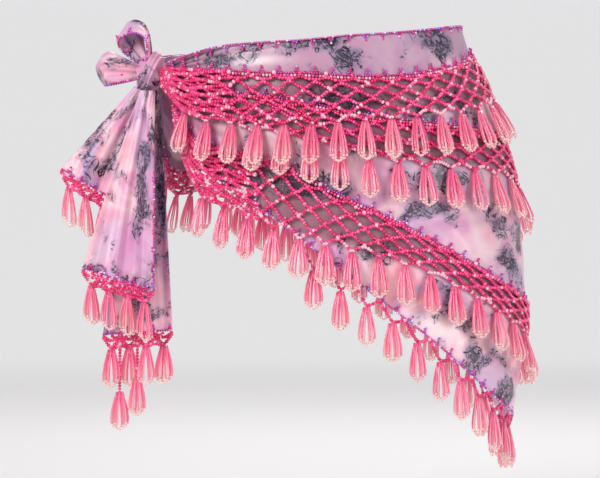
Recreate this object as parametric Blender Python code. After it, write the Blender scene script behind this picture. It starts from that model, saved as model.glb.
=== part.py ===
"""Beaded hip scarf, as worn: one printed triangular cloth wrapped round the hips and tied at one side.

The cloth hangs to a point at the far hip. Three nets of threaded beads are sewn across it, each
with a row of teardrop pendants along its foot, and the slanting hem carries a row of its own.
The two ends meet in a knot with two bow loops and three hanging tails.

Lengths are in millimetres, and MM turns them into Blender's metres. +X is the far hip, -Y the
front and +Z up. The origin is the centre of the waist opening. A "share" says how far round the
hips a point lies: 0 at the knot, rising over the front to the far hip, then over the back to 1.
"""

import math
from collections import namedtuple

import bpy
import numpy as np

MM = 0.001

# Cloth, beads and clearances
CLOTH_WALL = 1.5
TAIL_WALL = 1.2
STRAND_DEPTH = 2.0
STRAND_WIDTH = 2.6
STRAND_RELIEF = 0.9
SEAM_GAP = 1.1
SIDE_GAP = 1.0
DROP_GAP = 0.7
TAIL_DROP_GAP = 0.5
KNOT_GAP = 0.55
SMALLEST_GAP = 4.0
SMALLEST_OPEN_SHARE = 0.3

# The general figure that the scarf is cut for, as level rings seen from above
HipRing = namedtuple("HipRing", "height left right front back")
HIP_RINGS = [
    HipRing(40, -140, 132, 90, 86),
    HipRing(16, -144, 137, 94, 90),
    HipRing(-16, -146, 147, 98, 98),
    HipRing(-51, -143, 161, 102, 108),
    HipRing(-98, -139, 178, 106, 120),
    HipRing(-144, -136, 189, 108, 126),
    HipRing(-191, -134, 194, 108, 126),
    HipRing(-237, -133, 196, 107, 120),
    HipRing(-284, -131, 194, 105, 112),
    HipRing(-330, -127, 187, 102, 106),
    HipRing(-380, -115, 174, 98, 100),
]
MEASURING_HEIGHT = -120.0
KNOT_TURN = math.radians(165.0)

# Heights of the sewn lines at stations round the hips
Station = namedtuple("Station", "share waist seam_1 foot_1 seam_2 foot_2 seam_3 foot_3 hem")
STATIONS = [
    Station(0.020, -20, -23, -42, -30, -50, -40, -62, -48),
    Station(0.050, -15, -25, -66, -40, -71, -84, -130, -102),
    Station(0.100, -7, -28, -76, -47, -81, -100, -157, -137),
    Station(0.150, -4, -31, -78, -52, -86, -112, -176, -169),
    Station(0.200, -2, -32, -77, -60, -98, -137, -188, -206),
    Station(0.250, 2, -34, -74, -69, -109, -158, -199, -240),
    Station(0.300, 5, -33, -71, -74, -115, -182, -214, -274),
    Station(0.350, 9, -27, -67, -77, -118, -205, -236, -307),
    Station(0.400, 14, -18, -60, -81, -123, -226, -258, -332),
    Station(0.454, 17, -9, -50, -90, -134, -240, -276, -345),
    Station(0.500, 17, -8, -52, -104, -150, -236, -282, -345),
    Station(0.560, 15, -12, -60, -102, -148, -200, -248, -298),
    Station(0.650, 10, -20, -70, -83, -125, -150, -198, -224),
    Station(0.750, 3, -27, -74, -60, -96, -119, -160, -164),
    Station(0.850, -4, -28, -70, -45, -75, -97, -136, -114),
    Station(0.950, -13, -25, -62, -39, -66, -84, -114, -94),
    Station(0.980, -20, -23, -42, -30, -50, -40, -62, -48),
]
WRAP_START, WRAP_END = 0.016, 0.984
WRAP_COLUMNS = 56
BAND_ROWS = 3
SKIRT_ROWS = 8
END_COLUMN = 0.012
WAIST_FOLD = 3.0
WAIST_FOLD_REACH = 0.09

# Nets: columns of pendants, half rows of meshes, and how far their inside stands off the hips
Net = namedtuple("Net", "name seam foot start columns rows open_rows foot_lift pendant_lift")
SEAM_LIFT = CLOTH_WALL + SEAM_GAP
NETS = [
    Net("1", "seam_1", "foot_1", 0.022, 34, 7, 1, 6.2, 11.5),
    Net("2", "seam_2", "foot_2", 0.100, 28, 6, 1, 3.2, 10.0),
    Net("3", "seam_3", "foot_3", 0.034, 36, 7, 2, 3.2, 10.0),
]
CROWDED_DROP, CROWDED_BLEND, CROWDED_LIFT = 42.0, 10.0, 4.0
HEM_FRINGE_DEPTH, HEM_FRINGE_EXTRA = 11.5, 7.0
HEM_EXTRA_START, HEM_EXTRA_FULL = 0.25, 0.20
HEM_FRINGE_START = 0.14
HEM_PENDANT_LIFT = 3.0

# One teardrop pendant, a bunch of bead loops closed at the top
PENDANT_LENGTH = 36.0
PENDANT_HALF_WIDTH = 7.6
TAIL_PENDANT_HALF_WIDTH = 6.7
PENDANT_HALF_DEPTH = 4.0
PENDANT_ROOT_HALF_WIDTH = 1.4
BELLY_SHARE = 0.78
TIP_SHARE = 0.99
TIP_TAPER = 0.5

# Knot, bow loops and tails
KNOT_CENTRE = np.array([-150.0, -30.0, -28.0])
KNOT_RADII = np.array([14.5, 14.5, 18.5])
KNOT_RIBS = 7
KNOT_RIB_DEPTH = 1.3
KNOT_HEART_DEPTH = 6.0
FAN_TOP, FAN_FOOT = math.radians(38.0), math.radians(-52.0)
FAR_FROM_KNOT = 60.0
Loop = namedtuple("Loop", "name out across length opening root_band band")
LOOPS = [
    Loop("bow_loop_upper", (-0.30, -0.10, 0.95), (0.55, 0.80, 0.0), 52, 27, 7, 30),
    Loop("bow_loop_left", (-0.985, 0.05, 0.12), (0.0, 0.0, 1.0), 50, 22, 6, 32),
]
LOOP_STEPS, LOOP_BAND_STEPS = 18, 4
LOOP_ROUNDNESS = 1.54
LOOP_CURL = 0.2
Tail = namedtuple("Tail", "name root left_foot right_foot folds fold_depth fold_turn pendants low")
TAILS = [
    Tail("tail_left", (-156, -34, -38), (-231, -44, -116), (-185, -36, -143), 1.5, 4.0, 0.2, 3, {}),
    Tail("tail_front", (-151, -40, -39), (-210, -60, -207), (-145, -56, -227), 2.0, 5.0, 0.0, 4, {}),
    Tail(
        "tail_back", (-147, -28, -39), (-193, -34, -268), (-129, -40, -264), 2.0, 4.0, 0.5, 4,
        {1: 52, 2: 40},
    ),
]
TAIL_STEPS, TAIL_ROWS = 12, 8
TAIL_ROOT_HALF_WIDTH = 6.0
TAIL_FRINGE_DEPTH = 9.0
LOW_PENDANT_FORWARD = 3.5

# Colours, as linear red, green and blue
CLOTH_PINK = (0.72, 0.42, 0.55)
BEAD_PINK = (0.80, 0.06, 0.22)
PENDANT_PINK = (0.88, 0.28, 0.38)


def smooth(xs, ys, x):
    """Reads a curve through the points (xs, ys) at x, with its slope taken from the neighbours."""
    xs, ys, x = (np.asarray(values, float) for values in (xs, ys, x))
    slope = np.gradient(ys, xs)
    i = np.clip(np.searchsorted(xs, x) - 1, 0, len(xs) - 2)
    width = xs[i + 1] - xs[i]
    t = np.clip((x - xs[i]) / width, 0.0, 1.0)
    rise, fall = t * t * (3 - 2 * t), t * (1 - t)
    along = fall * (1 - t) * slope[i] - fall * t * slope[i + 1]
    return ys[i] + (ys[i + 1] - ys[i]) * rise + width * along


def ring_size(name, height):
    """One column of HIP_RINGS at a height."""
    rings = HIP_RINGS[::-1]
    return smooth([r.height for r in rings], [getattr(r, name) for r in rings], height)


def line_height(name, share):
    """Height of a sewn line at a share of the way round."""
    return smooth([s.share for s in STATIONS], [getattr(s, name) for s in STATIONS], share)


def ring_point(turn, height, lift):
    """A point on the figure at an angle from the far hip, moved out along the level normal."""
    left, right = ring_size("left", height), ring_size("right", height)
    half_width = (right - left) / 2
    depth = np.where(np.sin(turn) > 0, ring_size("front", height), ring_size("back", height))
    normal = np.stack([np.cos(turn) / half_width, -np.sin(turn) / depth])
    normal = normal / np.linalg.norm(normal, axis=0)
    x = (left + right) / 2 + half_width * np.cos(turn) + lift * normal[0]
    y = -depth * np.sin(turn) + lift * normal[1]
    return np.stack([x, y, height + 0 * x], axis=-1)


def shares_to_turns():
    """Angles at equal steps of length round the hips, so that a share is a share of that length."""
    turns = np.linspace(KNOT_TURN, KNOT_TURN - 2 * math.pi, 721)
    round_hips = ring_point(turns, np.full(len(turns), MEASURING_HEIGHT), 0.0)
    steps = np.linalg.norm(np.diff(round_hips, axis=0), axis=1)
    lengths = np.concatenate([[0.0], np.cumsum(steps)])
    return lengths[-1], lengths / lengths[-1], turns


HIP_GIRTH, SHARES, TURNS = shares_to_turns()


def on_hips(share, height, lift):
    """A point of the cloth or of something that lies on it, lift above the inside of the cloth."""
    share, height, lift = np.broadcast_arrays(*(np.asarray(v, float) for v in (share, height, lift)))
    return ring_point(np.interp(share, SHARES, TURNS), height, lift)


def out_of(share, height):
    """The level direction straight out of the cloth."""
    step = on_hips(share, height, 1.0) - on_hips(share, height, 0.0)
    return step / np.linalg.norm(step)


def beads(name, colour, roughness):
    """A glossy, slightly clear bead or cloth material."""
    material = bpy.data.materials.new(name)
    material.use_nodes = True
    shader = material.node_tree.nodes["Principled BSDF"]
    shader.inputs["Base Color"].default_value = (*colour, 1.0)
    shader.inputs["Roughness"].default_value = roughness
    shader.inputs["Metallic"].default_value = 0.0
    return material


def solid(name, points, faces, material):
    """One closed named mesh from points in millimetres, without the points that no face uses."""
    used = sorted({i for face in faces for i in face})
    place = {old: new for new, old in enumerate(used)}
    mesh = bpy.data.meshes.new(name)
    vertices = [tuple(points[i] * MM) for i in used]
    mesh.from_pydata(vertices, [], [tuple(place[i] for i in face) for face in faces])
    mesh.materials.append(material)
    mesh.update()
    made = bpy.data.objects.new(name, mesh)
    collection.objects.link(made)
    return made


def wall(name, outer, inner, outer_faces, inner_faces, material):
    """A closed wall of two skins over the same points, joined along every free edge."""
    count = len(outer)
    edges = [(f[i], f[(i + 1) % len(f)]) for f in outer_faces for i in range(len(f))]
    known = set(edges)
    rims = [(b, a, a + count, b + count) for a, b in edges if (b, a) not in known]
    inside = [tuple(i + count for i in reversed(face)) for face in inner_faces]
    return solid(name, np.vstack([outer, inner]), [*outer_faces, *inside, *rims], material)


def grid_faces(rows, columns):
    """Quads of a grid of points stored row by row, facing out when rows run down and columns right."""
    return [
        (r * columns + c, (r + 1) * columns + c, (r + 1) * columns + c + 1, r * columns + c + 1)
        for r in range(rows - 1)
        for c in range(columns - 1)
    ]


def sheet(name, grid, thickness, material):
    """A wall of even thickness about a grid of points, rows by columns."""
    down, right = np.gradient(grid, axis=0), np.gradient(grid, axis=1)
    normal = np.cross(down, right)
    normal /= np.linalg.norm(normal, axis=2, keepdims=True)
    flat, offset = grid.reshape(-1, 3), normal.reshape(-1, 3) * thickness / 2
    faces = grid_faces(*grid.shape[:2])
    return wall(name, flat + offset, flat - offset, faces, faces, material)


def knot_room(point):
    """How many times further from the knot's centre a point lies than the knot's clear surface."""
    return np.linalg.norm((point - KNOT_CENTRE) / (KNOT_RADII + KNOT_GAP))


def leaves_knot(path, inside, outside):
    """The parameter at which a path that starts in the knot comes out of it."""
    for _ in range(30):
        middle = (inside + outside) / 2
        if knot_room(path(middle)) < 1.0:
            inside = middle
        else:
            outside = middle
    return outside


def wrap_grid(lift):
    """Points of the wrapped cloth: rows from waist to hem, columns round the hips."""
    on_cloth = np.linspace(WRAP_START + END_COLUMN, WRAP_END - END_COLUMN, WRAP_COLUMNS - 1)
    shares = np.concatenate([[WRAP_START], on_cloth, [WRAP_END]])
    waist, seam, hem = (line_height(name, shares) for name in ("waist", "seam_1", "hem"))
    rows = []
    for step in range(BAND_ROWS + SKIRT_ROWS + 1):
        if step <= BAND_ROWS:
            height = waist + (seam - waist) * step / BAND_ROWS
            ridge = math.sin(math.pi * step / BAND_ROWS)
        else:
            height = seam + (hem - seam) * (step - BAND_ROWS) / SKIRT_ROWS
            ridge = 0.0
        to_knot = np.minimum(shares - WRAP_START, WRAP_END - shares)
        fold = WAIST_FOLD * ridge * np.exp(-((to_knot / WAIST_FOLD_REACH) ** 2))
        rows.append(on_hips(shares, height, lift + fold))
    return np.array(rows)


def gather_into_knot(grid, lift):
    """Draws both ends of the cloth up to the side of the knot that they come out of."""
    for column, side in ((0, 1.0), (-1, -1.0)):
        share = WRAP_START if side > 0 else WRAP_END
        along = on_hips(share + 0.001, KNOT_CENTRE[2], 0.0) - on_hips(share - 0.001, KNOT_CENTRE[2], 0.0)
        along = side * along / np.linalg.norm(along)
        out = out_of(share, KNOT_CENTRE[2])
        heart = KNOT_CENTRE - out * KNOT_HEART_DEPTH
        for row, angle in enumerate(np.linspace(FAN_TOP, FAN_FOOT, len(grid))):
            aim = along * math.cos(angle) + np.array([0.0, 0.0, math.sin(angle)])
            reach = leaves_knot(lambda t, aim=aim: heart + aim * t, 0.0, FAR_FROM_KNOT)
            grid[row, column] = heart + aim * reach + out * (lift - CLOTH_WALL / 2)
    return grid


def make_wrap(material):
    """The cloth round the hips, one wall from the knot right round to the knot again."""
    inner = gather_into_knot(wrap_grid(0.0), 0.0)
    outer = gather_into_knot(wrap_grid(CLOTH_WALL), CLOTH_WALL)
    faces = grid_faces(*inner.shape[:2])
    wall("scarf_cloth", outer.reshape(-1, 3), inner.reshape(-1, 3), faces, faces, material)


def net_share(net, k):
    """Share of half column k of a net, the same on both sides of the far hip."""
    return net.start + (1 - 2 * net.start) * k / (2 * net.columns)


def net_lift(net, row):
    """How far the inside of a net stands off the hips at a half row."""
    t = min(1.0, row / 3.0)
    return SEAM_LIFT + (net.foot_lift - SEAM_LIFT) * t * t * (3 - 2 * t)


def net_height(net, share, row):
    """Height of a half row of a net, from its seam at row 0 to its pendants at the last row."""
    seam, foot = line_height(net.seam, share), line_height(net.foot, share)
    return seam + (foot - seam) * row / net.rows


def mesh_gap(corners):
    """The share of a mesh that stays open between its strands, and how tall that opening is."""
    centre = corners.mean(axis=0)
    sides = np.roll(corners, -1, axis=0) - corners
    spokes = corners - centre
    area = np.linalg.norm(np.cross(spokes, np.roll(spokes, -1, axis=0)), axis=1).sum() / 2
    inside_radius = 2 * area / np.linalg.norm(sides, axis=1).sum()
    open_share = 1.0 - STRAND_WIDTH / 2 / inside_radius
    return open_share, 2 * inside_radius * open_share


def make_net(net, side, material):
    """One half of a bead net: strands stand out as ridges, and its lowest meshes are cut through."""
    front = side == "front"
    apart = 0.0 if front else SIDE_GAP / HIP_GIRTH
    outer, inner, places = [], [], {}

    def point(k, row, kind, outside, inside):
        if (k, row, kind) not in places:
            places[k, row, kind] = len(outer)
            outer.append(outside)
            inner.append(inside)
        return places[k, row, kind]

    def crossing(k, row):
        share = net_share(net, k) + apart
        height, lift = net_height(net, share, row), net_lift(net, row)
        ends = [on_hips(share, height, lift + depth) for depth in (STRAND_DEPTH, 0.0)]
        return point(k, row, "crossing", *ends)

    outer_faces, inner_faces = [], []
    for row in range(net.rows - 1):
        for k in range(1, 2 * net.columns):
            if (k + net.rows - row) % 2 == 0 or (k <= net.columns) != front:
                continue
            keys = [(k - 1, row), (k, row + 1), (k + 1, row), (k, row - 1)]
            corners = [crossing(*key) for key in keys if key[1] >= 0]
            open_share, tall = mesh_gap(np.array([outer[c] for c in corners]))
            cut = row >= net.rows - 1 - net.open_rows and tall > SMALLEST_GAP
            cut = cut and open_share > SMALLEST_OPEN_SHARE
            centre_out = np.mean([outer[c] for c in corners], axis=0)
            centre_in = np.mean([inner[c] for c in corners], axis=0)
            if cut:
                inset = [
                    point(
                        k,
                        row,
                        corner,
                        centre_out + (outer[corner] - centre_out) * open_share,
                        centre_in + (inner[corner] - centre_in) * open_share,
                    )
                    for corner in corners
                ]
                count = len(corners)
                for i in range(count):
                    j = (i + 1) % count
                    outer_faces.append((corners[i], corners[j], inset[j], inset[i]))
                    inner_faces.append((corners[i], corners[j], inset[j], inset[i]))
                continue
            sink = out_of(net_share(net, k), net_height(net, net_share(net, k), row)) * STRAND_RELIEF
            hub = point(k, row, "hub", centre_out - sink, centre_in)
            outer_faces += [
                (corners[i], corners[(i + 1) % len(corners)], hub) for i in range(len(corners))
            ]
            if len(corners) == 4:
                left, foot, right, head = corners
                inner_faces += [(left, foot, head), (foot, right, head)]
            else:
                inner_faces.append(tuple(corners))
    name = f"net_{net.name}_{side}"
    wall(name, np.array(outer), np.array(inner), outer_faces, inner_faces, material)


Hanger = namedtuple(
    "Hanger", "foot belly tip along out half_width neck", defaults=[PENDANT_HALF_WIDTH, None]
)


def fringe(name, tops, hangers, depth, material, low=None):
    """A zigzag strip of beads with a pendant fused to each low point.

    tops are the high points of the zigzag and hangers the low ones between them. depth is the
    strip's thickness. low holds the few hangers whose thread comes down from a high point.
    """
    up = np.array([0.0, 0.0, STRAND_WIDTH / 2])
    points, faces, previous = [], [], None

    def ring(centre, out):
        start = len(points)
        half = out * depth / 2
        points.extend([centre + up + half, centre - up + half, centre - up - half, centre + up - half])
        return [start + i for i in range(4)]

    def bridge(a, b, sides):
        faces.extend((a[i], a[(i + 1) % 4], b[(i + 1) % 4], b[i]) for i in sides)

    def pendant(hanger, root):
        half_width, half_depth = hanger.half_width, PENDANT_HALF_DEPTH
        sections = [
            (hanger.neck, PENDANT_ROOT_HALF_WIDTH, PENDANT_ROOT_HALF_WIDTH),
            (hanger.belly, half_width, half_depth),
            (hanger.tip, half_width * TIP_TAPER, half_depth * TIP_TAPER),
        ]
        for centre, wide, deep in sections:
            if centre is None:
                continue
            start = len(points)
            across, outward = hanger.along * wide, hanger.out * deep
            points.extend([centre + outward, centre + across, centre - outward, centre - across])
            section = [start + i for i in range(4)]
            for i in range(4):
                j = (i + 1) % 4
                faces.append((root[i], section[i], root[j]))
                faces.append((root[j], section[i], section[j]))
            root = section
        faces.append(tuple(reversed(root)))

    def hang(hanger, before):
        half = hanger.along * PENDANT_ROOT_HALF_WIDTH
        near, far = ring(hanger.foot - half, hanger.out), ring(hanger.foot + half, hanger.out)
        bridge(before, near, range(4))
        bridge(near, far, (0, 2, 3))
        pendant(hanger, [near[1], far[1], far[2], near[2]])
        return far

    for i, top in enumerate(tops):
        if low and i in low:
            previous = hang(low[i], previous)
        else:
            here = ring(top, hangers[min(i, len(hangers) - 1)].out)
            if previous is None:
                faces.append(tuple(reversed(here)))
            else:
                bridge(previous, here, range(4))
            previous = here
        if i < len(hangers):
            previous = hang(hangers[i], previous)
    faces.append(tuple(previous))
    solid(name, points, faces, material)


def hip_hanger(share, height, lift, pendant_lift):
    """Where a pendant hangs on the hips: plumb, pushed out where they swell under it."""
    along = on_hips(share + 0.001, height, lift) - on_hips(share - 0.001, height, lift)
    out = out_of(share, height)
    foot = on_hips(share, height, lift)
    centres = []
    for part in (BELLY_SHARE, TIP_SHARE):
        drop = np.array([0.0, 0.0, -PENDANT_LENGTH * part])
        resting = on_hips(share, height + drop[2], pendant_lift)
        reach = max(pendant_lift - lift, np.dot(resting - foot, out))
        centres.append(foot + drop + out * reach)
    return Hanger(foot, *centres, along / np.linalg.norm(along), out)


def make_net_fringe(net, material):
    """The lowest zigzag of a net and its pendants, parted from the net by a hair."""
    lift = net.foot_lift + STRAND_DEPTH / 2
    drop = STRAND_WIDTH / 2 + DROP_GAP
    tops, hangers = [], []
    for k in range(1, 2 * net.columns):
        share = net_share(net, k)
        if k % 2 == 1:
            tops.append(on_hips(share, net_height(net, share, net.rows - 1) - drop, lift))
            continue
        foot = line_height(net.foot, share)
        pendant_lift = net.pendant_lift
        if net.foot == "foot_1":
            room = foot - line_height("foot_2", share)
            crowded = np.clip((CROWDED_DROP - room) / CROWDED_BLEND, 0.0, 1.0)
            pendant_lift += CROWDED_LIFT * crowded
        hangers.append(hip_hanger(share, foot, lift, pendant_lift))
    fringe(f"fringe_{net.name}", tops, hangers, STRAND_DEPTH, material)


def hem_fringe_depth(share):
    """How far the zigzag falls below the hem: deeper towards the knot."""
    near = min(share, 1 - share)
    places, depths = [HEM_EXTRA_FULL, HEM_EXTRA_START], [HEM_FRINGE_EXTRA, 0.0]
    return HEM_FRINGE_DEPTH + float(np.interp(near, places, depths))


def make_hem_fringe(net, material):
    """The zigzag and pendants along the slanting hem, half a column out of step with the net's."""
    drop = STRAND_WIDTH / 2 + DROP_GAP
    lift = CLOTH_WALL / 2
    tops, hangers = [], []
    for k in range(2 * net.columns):
        share = net_share(net, k)
        if not HEM_FRINGE_START < share < 1 - HEM_FRINGE_START:
            continue
        hem = line_height("hem", share)
        if k % 2 == 0:
            tops.append(on_hips(share, hem - drop, lift))
        elif tops:
            low = hem - hem_fringe_depth(share)
            hangers.append(hip_hanger(share, low, lift, HEM_PENDANT_LIFT))
    fringe("fringe_hem", tops, hangers[: len(tops) - 1], CLOTH_WALL, material)


def make_knot(material):
    """The tied knot: a rounded lump with the ribs of the wrapped cloth pressed into it."""
    bpy.ops.mesh.primitive_uv_sphere_add(segments=20, ring_count=12, radius=1.0)
    knot = bpy.context.object
    knot.name = knot.data.name = "knot"
    co = np.array([v.co for v in knot.data.vertices])
    slant = np.arctan2(co[:, 2] + 0.35 * co[:, 0], co[:, 0] * 0.8 + 0.2)
    press = KNOT_RIB_DEPTH * (0.5 - 0.5 * np.cos(KNOT_RIBS * slant)) * (1 - np.abs(co[:, 1]) ** 2)
    co = co * (KNOT_RADII - press[:, None]) + KNOT_CENTRE
    knot.data.vertices.foreach_set("co", (co * MM).astype(np.float32).ravel())
    knot.data.materials.append(material)
    for owner in list(knot.users_collection):
        owner.objects.unlink(knot)
    collection.objects.link(knot)


def make_loop(loop, material):
    """A bow loop: a band that leaves the knot, turns round and comes back, widest at its far end."""
    out = np.array(loop.out) / np.linalg.norm(loop.out)
    band = np.array(loop.across) - out * np.dot(loop.across, out)
    band /= np.linalg.norm(band)
    side = np.cross(out, band)

    def place(turn, across):
        """Teardrop loop: distance out grows as 1 - cos, the opening as sin times squared sin of half."""
        far = (1 - math.cos(turn)) / 2
        width = loop.root_band + (loop.band - loop.root_band) * far
        bulge = loop.opening / 2 * math.sin(turn) * math.sin(turn / 2) ** 2 * LOOP_ROUNDNESS
        length = loop.length * far * (1 - LOOP_CURL * across ** 2)
        return KNOT_CENTRE + out * length + side * bulge + band * across * width / 2

    columns = []
    for across in np.linspace(-1.0, 1.0, LOOP_BAND_STEPS + 1):
        start = leaves_knot(lambda t, a=across: place(t, a), 0.0, math.pi)
        end = leaves_knot(lambda t, a=across: place(t, a), 2 * math.pi, math.pi)
        columns.append([place(t, across) for t in np.linspace(start, end, LOOP_STEPS + 1)])
    sheet(loop.name, np.array(columns), TAIL_WALL, material)


def tail_point(tail, across, down):
    """A point of a hanging tail: straight from root to foot, with folds that deepen downwards."""
    root, left, right = (np.array(p, float) for p in (tail.root, tail.left_foot, tail.right_foot))
    head = root + np.array([(across - 0.5) * 2 * TAIL_ROOT_HALF_WIDTH, 0.0, 0.0])
    foot = left + (right - left) * across
    fold = tail.fold_depth * math.sin(2 * math.pi * (tail.folds * across + tail.fold_turn))
    return head + (foot - head) * down + np.array([0.0, fold * down ** 0.7, 0.0])


def make_tail(tail, material):
    """One end of the scarf, hanging from the knot in lengthwise folds."""
    columns = []
    for across in np.linspace(0.0, 1.0, TAIL_STEPS + 1):
        start = leaves_knot(lambda t, a=across: tail_point(tail, a, t), 0.0, 1.0)
        columns.append([tail_point(tail, across, t) for t in np.linspace(start, 1.0, TAIL_ROWS + 1)])
    sheet(tail.name, np.array(columns).transpose(1, 0, 2), TAIL_WALL, material)


def make_tail_fringe(tail, material):
    """The zigzag strip and pendants under a tail's edge."""
    edge = [tail_point(tail, a, 1.0) for a in np.linspace(0.0, 1.0, 2 * tail.pendants + 1)]
    along = (np.array(tail.right_foot) - np.array(tail.left_foot)).astype(float)
    along /= np.linalg.norm(along)
    out = np.cross(np.array([0.0, 0.0, 1.0]), along)
    out = -out / np.linalg.norm(out)
    down = np.array([0.0, 0.0, -1.0])
    tops = [point + down * (STRAND_WIDTH / 2 + TAIL_DROP_GAP) for point in edge[::2]]
    hangers = []
    for point in edge[1::2]:
        foot = point + down * TAIL_FRINGE_DEPTH
        belly, tip = (foot + down * PENDANT_LENGTH * part for part in (BELLY_SHARE, TIP_SHARE))
        hangers.append(Hanger(foot, belly, tip, along, out, TAIL_PENDANT_HALF_WIDTH))
    low = {}
    for i, thread in tail.low.items():
        neck = tops[i] + down * thread + out * LOW_PENDANT_FORWARD
        belly, tip = (neck + down * PENDANT_LENGTH * part for part in (BELLY_SHARE, TIP_SHARE))
        low[i] = Hanger(tops[i], belly, tip, along, out, TAIL_PENDANT_HALF_WIDTH, neck)
    fringe(f"fringe_{tail.name}", tops, hangers, TAIL_WALL, material, low)


def clear_scene():
    """Starts from an empty scene."""
    for old in list(bpy.data.objects):
        bpy.data.objects.remove(old, do_unlink=True)


clear_scene()
collection = bpy.data.collections.new("hip_scarf")
bpy.context.scene.collection.children.link(collection)

cloth = beads("printed_cloth", CLOTH_PINK, 0.45)
net_beads = beads("net_beads", BEAD_PINK, 0.2)
pendant_beads = beads("pendant_beads", PENDANT_PINK, 0.15)

make_wrap(cloth)
for each_net in NETS:
    make_net(each_net, "front", net_beads)
    make_net(each_net, "back", net_beads)
    make_net_fringe(each_net, pendant_beads)
make_hem_fringe(NETS[2], pendant_beads)
make_knot(cloth)
for each_loop in LOOPS:
    make_loop(each_loop, cloth)
for each_tail in TAILS:
    make_tail(each_tail, cloth)
    make_tail_fringe(each_tail, pendant_beads)
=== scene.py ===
# %% Load the packed model
import math
from collections import namedtuple

import bpy
import numpy as np
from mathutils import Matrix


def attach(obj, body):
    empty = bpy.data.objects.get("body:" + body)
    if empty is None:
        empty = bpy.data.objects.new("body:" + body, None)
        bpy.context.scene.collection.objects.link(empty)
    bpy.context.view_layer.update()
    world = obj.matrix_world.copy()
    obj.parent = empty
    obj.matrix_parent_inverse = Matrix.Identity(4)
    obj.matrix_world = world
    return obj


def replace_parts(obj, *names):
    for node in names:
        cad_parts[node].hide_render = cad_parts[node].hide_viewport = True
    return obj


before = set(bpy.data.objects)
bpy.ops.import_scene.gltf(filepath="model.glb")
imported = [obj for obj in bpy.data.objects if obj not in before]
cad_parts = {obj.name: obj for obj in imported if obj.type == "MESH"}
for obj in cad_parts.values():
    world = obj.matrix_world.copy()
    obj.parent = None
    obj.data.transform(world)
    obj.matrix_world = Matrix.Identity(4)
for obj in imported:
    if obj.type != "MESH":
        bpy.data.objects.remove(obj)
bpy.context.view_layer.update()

MM = 0.001
chance = np.random.default_rng(7)
print("CAD nodes:", len(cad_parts))

# %% [markdown]
# The camera comes first. A hip scarf is photographed square on and level, from far enough away
# that the sides of the hips don't curl out of sight. The picture is worked out from the width
# that it shows at the middle of the hips, so the lens follows from that and the distance.

# %% Camera
CAMERA_DISTANCE = 2.6
VIEW_WIDTH = 0.558
VIEW_MIDDLE_X, VIEW_MIDDLE_Z = -0.0121, -0.1804
SENSOR_MM = 36.0

scene = bpy.context.scene
lens = bpy.data.cameras.new("photo_camera")
lens.sensor_width = SENSOR_MM
lens.lens = SENSOR_MM * CAMERA_DISTANCE / VIEW_WIDTH
camera = bpy.data.objects.new("photo_camera", lens)
camera.location = (VIEW_MIDDLE_X, -CAMERA_DISTANCE, VIEW_MIDDLE_Z)
camera.rotation_euler = (math.radians(90), 0, 0)
scene.collection.objects.link(camera)
scene.camera = camera
print("lens in mm:", round(lens.lens, 1))

# %% [markdown]
# Materials are written as sums. The class below wraps one socket of a shader, so that a plus or a
# times sign between two of them adds a Math node. Every other node comes from its one method,
# which takes the node's type, its settings and the values or links of its sockets.

# %% A socket that can be added and multiplied
class Socket:
    """One output socket of a material, with Python's operators as Math nodes."""

    def __init__(self, tree, socket=None):
        self.tree = tree
        self.socket = socket

    def node(self, kind, values=None, output=0, stops=None, **settings):
        """Adds a node: its settings first, then a ramp's stops, then its sockets."""
        made = self.tree.nodes.new(kind)
        for name, value in settings.items():
            setattr(made, name, value)
        if stops:
            ramp = made.color_ramp
            while len(ramp.elements) < len(stops):
                ramp.elements.new(1.0)
            for element, (place, colour) in zip(ramp.elements, stops):
                element.position = place
                element.color = (*colour, 1.0)
        for name, value in (values or {}).items():
            if isinstance(value, Socket):
                self.tree.links.new(value.socket, made.inputs[name])
            else:
                made.inputs[name].default_value = value
        return Socket(self.tree, made.outputs[output])

    def maths(self, operation, *values):
        """A Math node on numbers or sockets."""
        return self.node("ShaderNodeMath", dict(enumerate(values)), operation=operation)

    def __add__(self, other):
        return self.maths("ADD", self, other)

    def __sub__(self, other):
        return self.maths("SUBTRACT", self, other)

    def __rsub__(self, other):
        return self.maths("SUBTRACT", other, self)

    def __mul__(self, other):
        return self.maths("MULTIPLY", self, other)

    __radd__ = __add__
    __rmul__ = __mul__

    def ramp(self, low, high):
        """0 below low, 1 above high and a soft step between them."""
        return self.node(
            "ShaderNodeMapRange",
            {"Value": self, "From Min": low, "From Max": high},
            interpolation_type="SMOOTHSTEP",
        )

    def mix(self, first, second):
        """The first colour where this value is 0, and the second where it is 1."""
        first, second = (c if isinstance(c, Socket) else (*c, 1.0) for c in (first, second))
        values = {0: self, 6: first, 7: second}
        return self.node("ShaderNodeMix", values, output=2, data_type="RGBA")

    def colours(self, *stops):
        """The colour at this value's place on a ramp."""
        return self.node("ShaderNodeValToRGB", {"Fac": self}, stops=stops)

    def field(self, name):
        """A number that the mesh holds at each of its points."""
        return self.node("ShaderNodeAttribute", output=2, attribute_name=name)

    def feeds(self, name):
        """Links this value to a socket of the material's shader."""
        self.tree.links.new(self.socket, self.tree.nodes["Principled BSDF"].inputs[name])


print("a socket has:", ", ".join(name for name in vars(Socket) if name[0] != "_"))

# %% Materials and colours
def new_material(name, **shader_values):
    """A Principled material with its plain sockets set, and the tools to work on it."""
    material = bpy.data.materials.new(name)
    material.use_nodes = True
    shader = material.node_tree.nodes["Principled BSDF"]
    for socket, value in shader_values.items():
        shader.inputs[socket.replace("_", " ")].default_value = value
    return material, Socket(material.node_tree)


def rgb(red, green, blue):
    """A colour as it looks on a screen, 0 to 255, turned into the linear one that shaders use."""
    screen = np.array([red, green, blue]) / 255.0
    linear = np.where(screen <= 0.04045, screen / 12.92, ((screen + 0.055) / 1.055) ** 2.4)
    return tuple(float(v) for v in linear)


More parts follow.
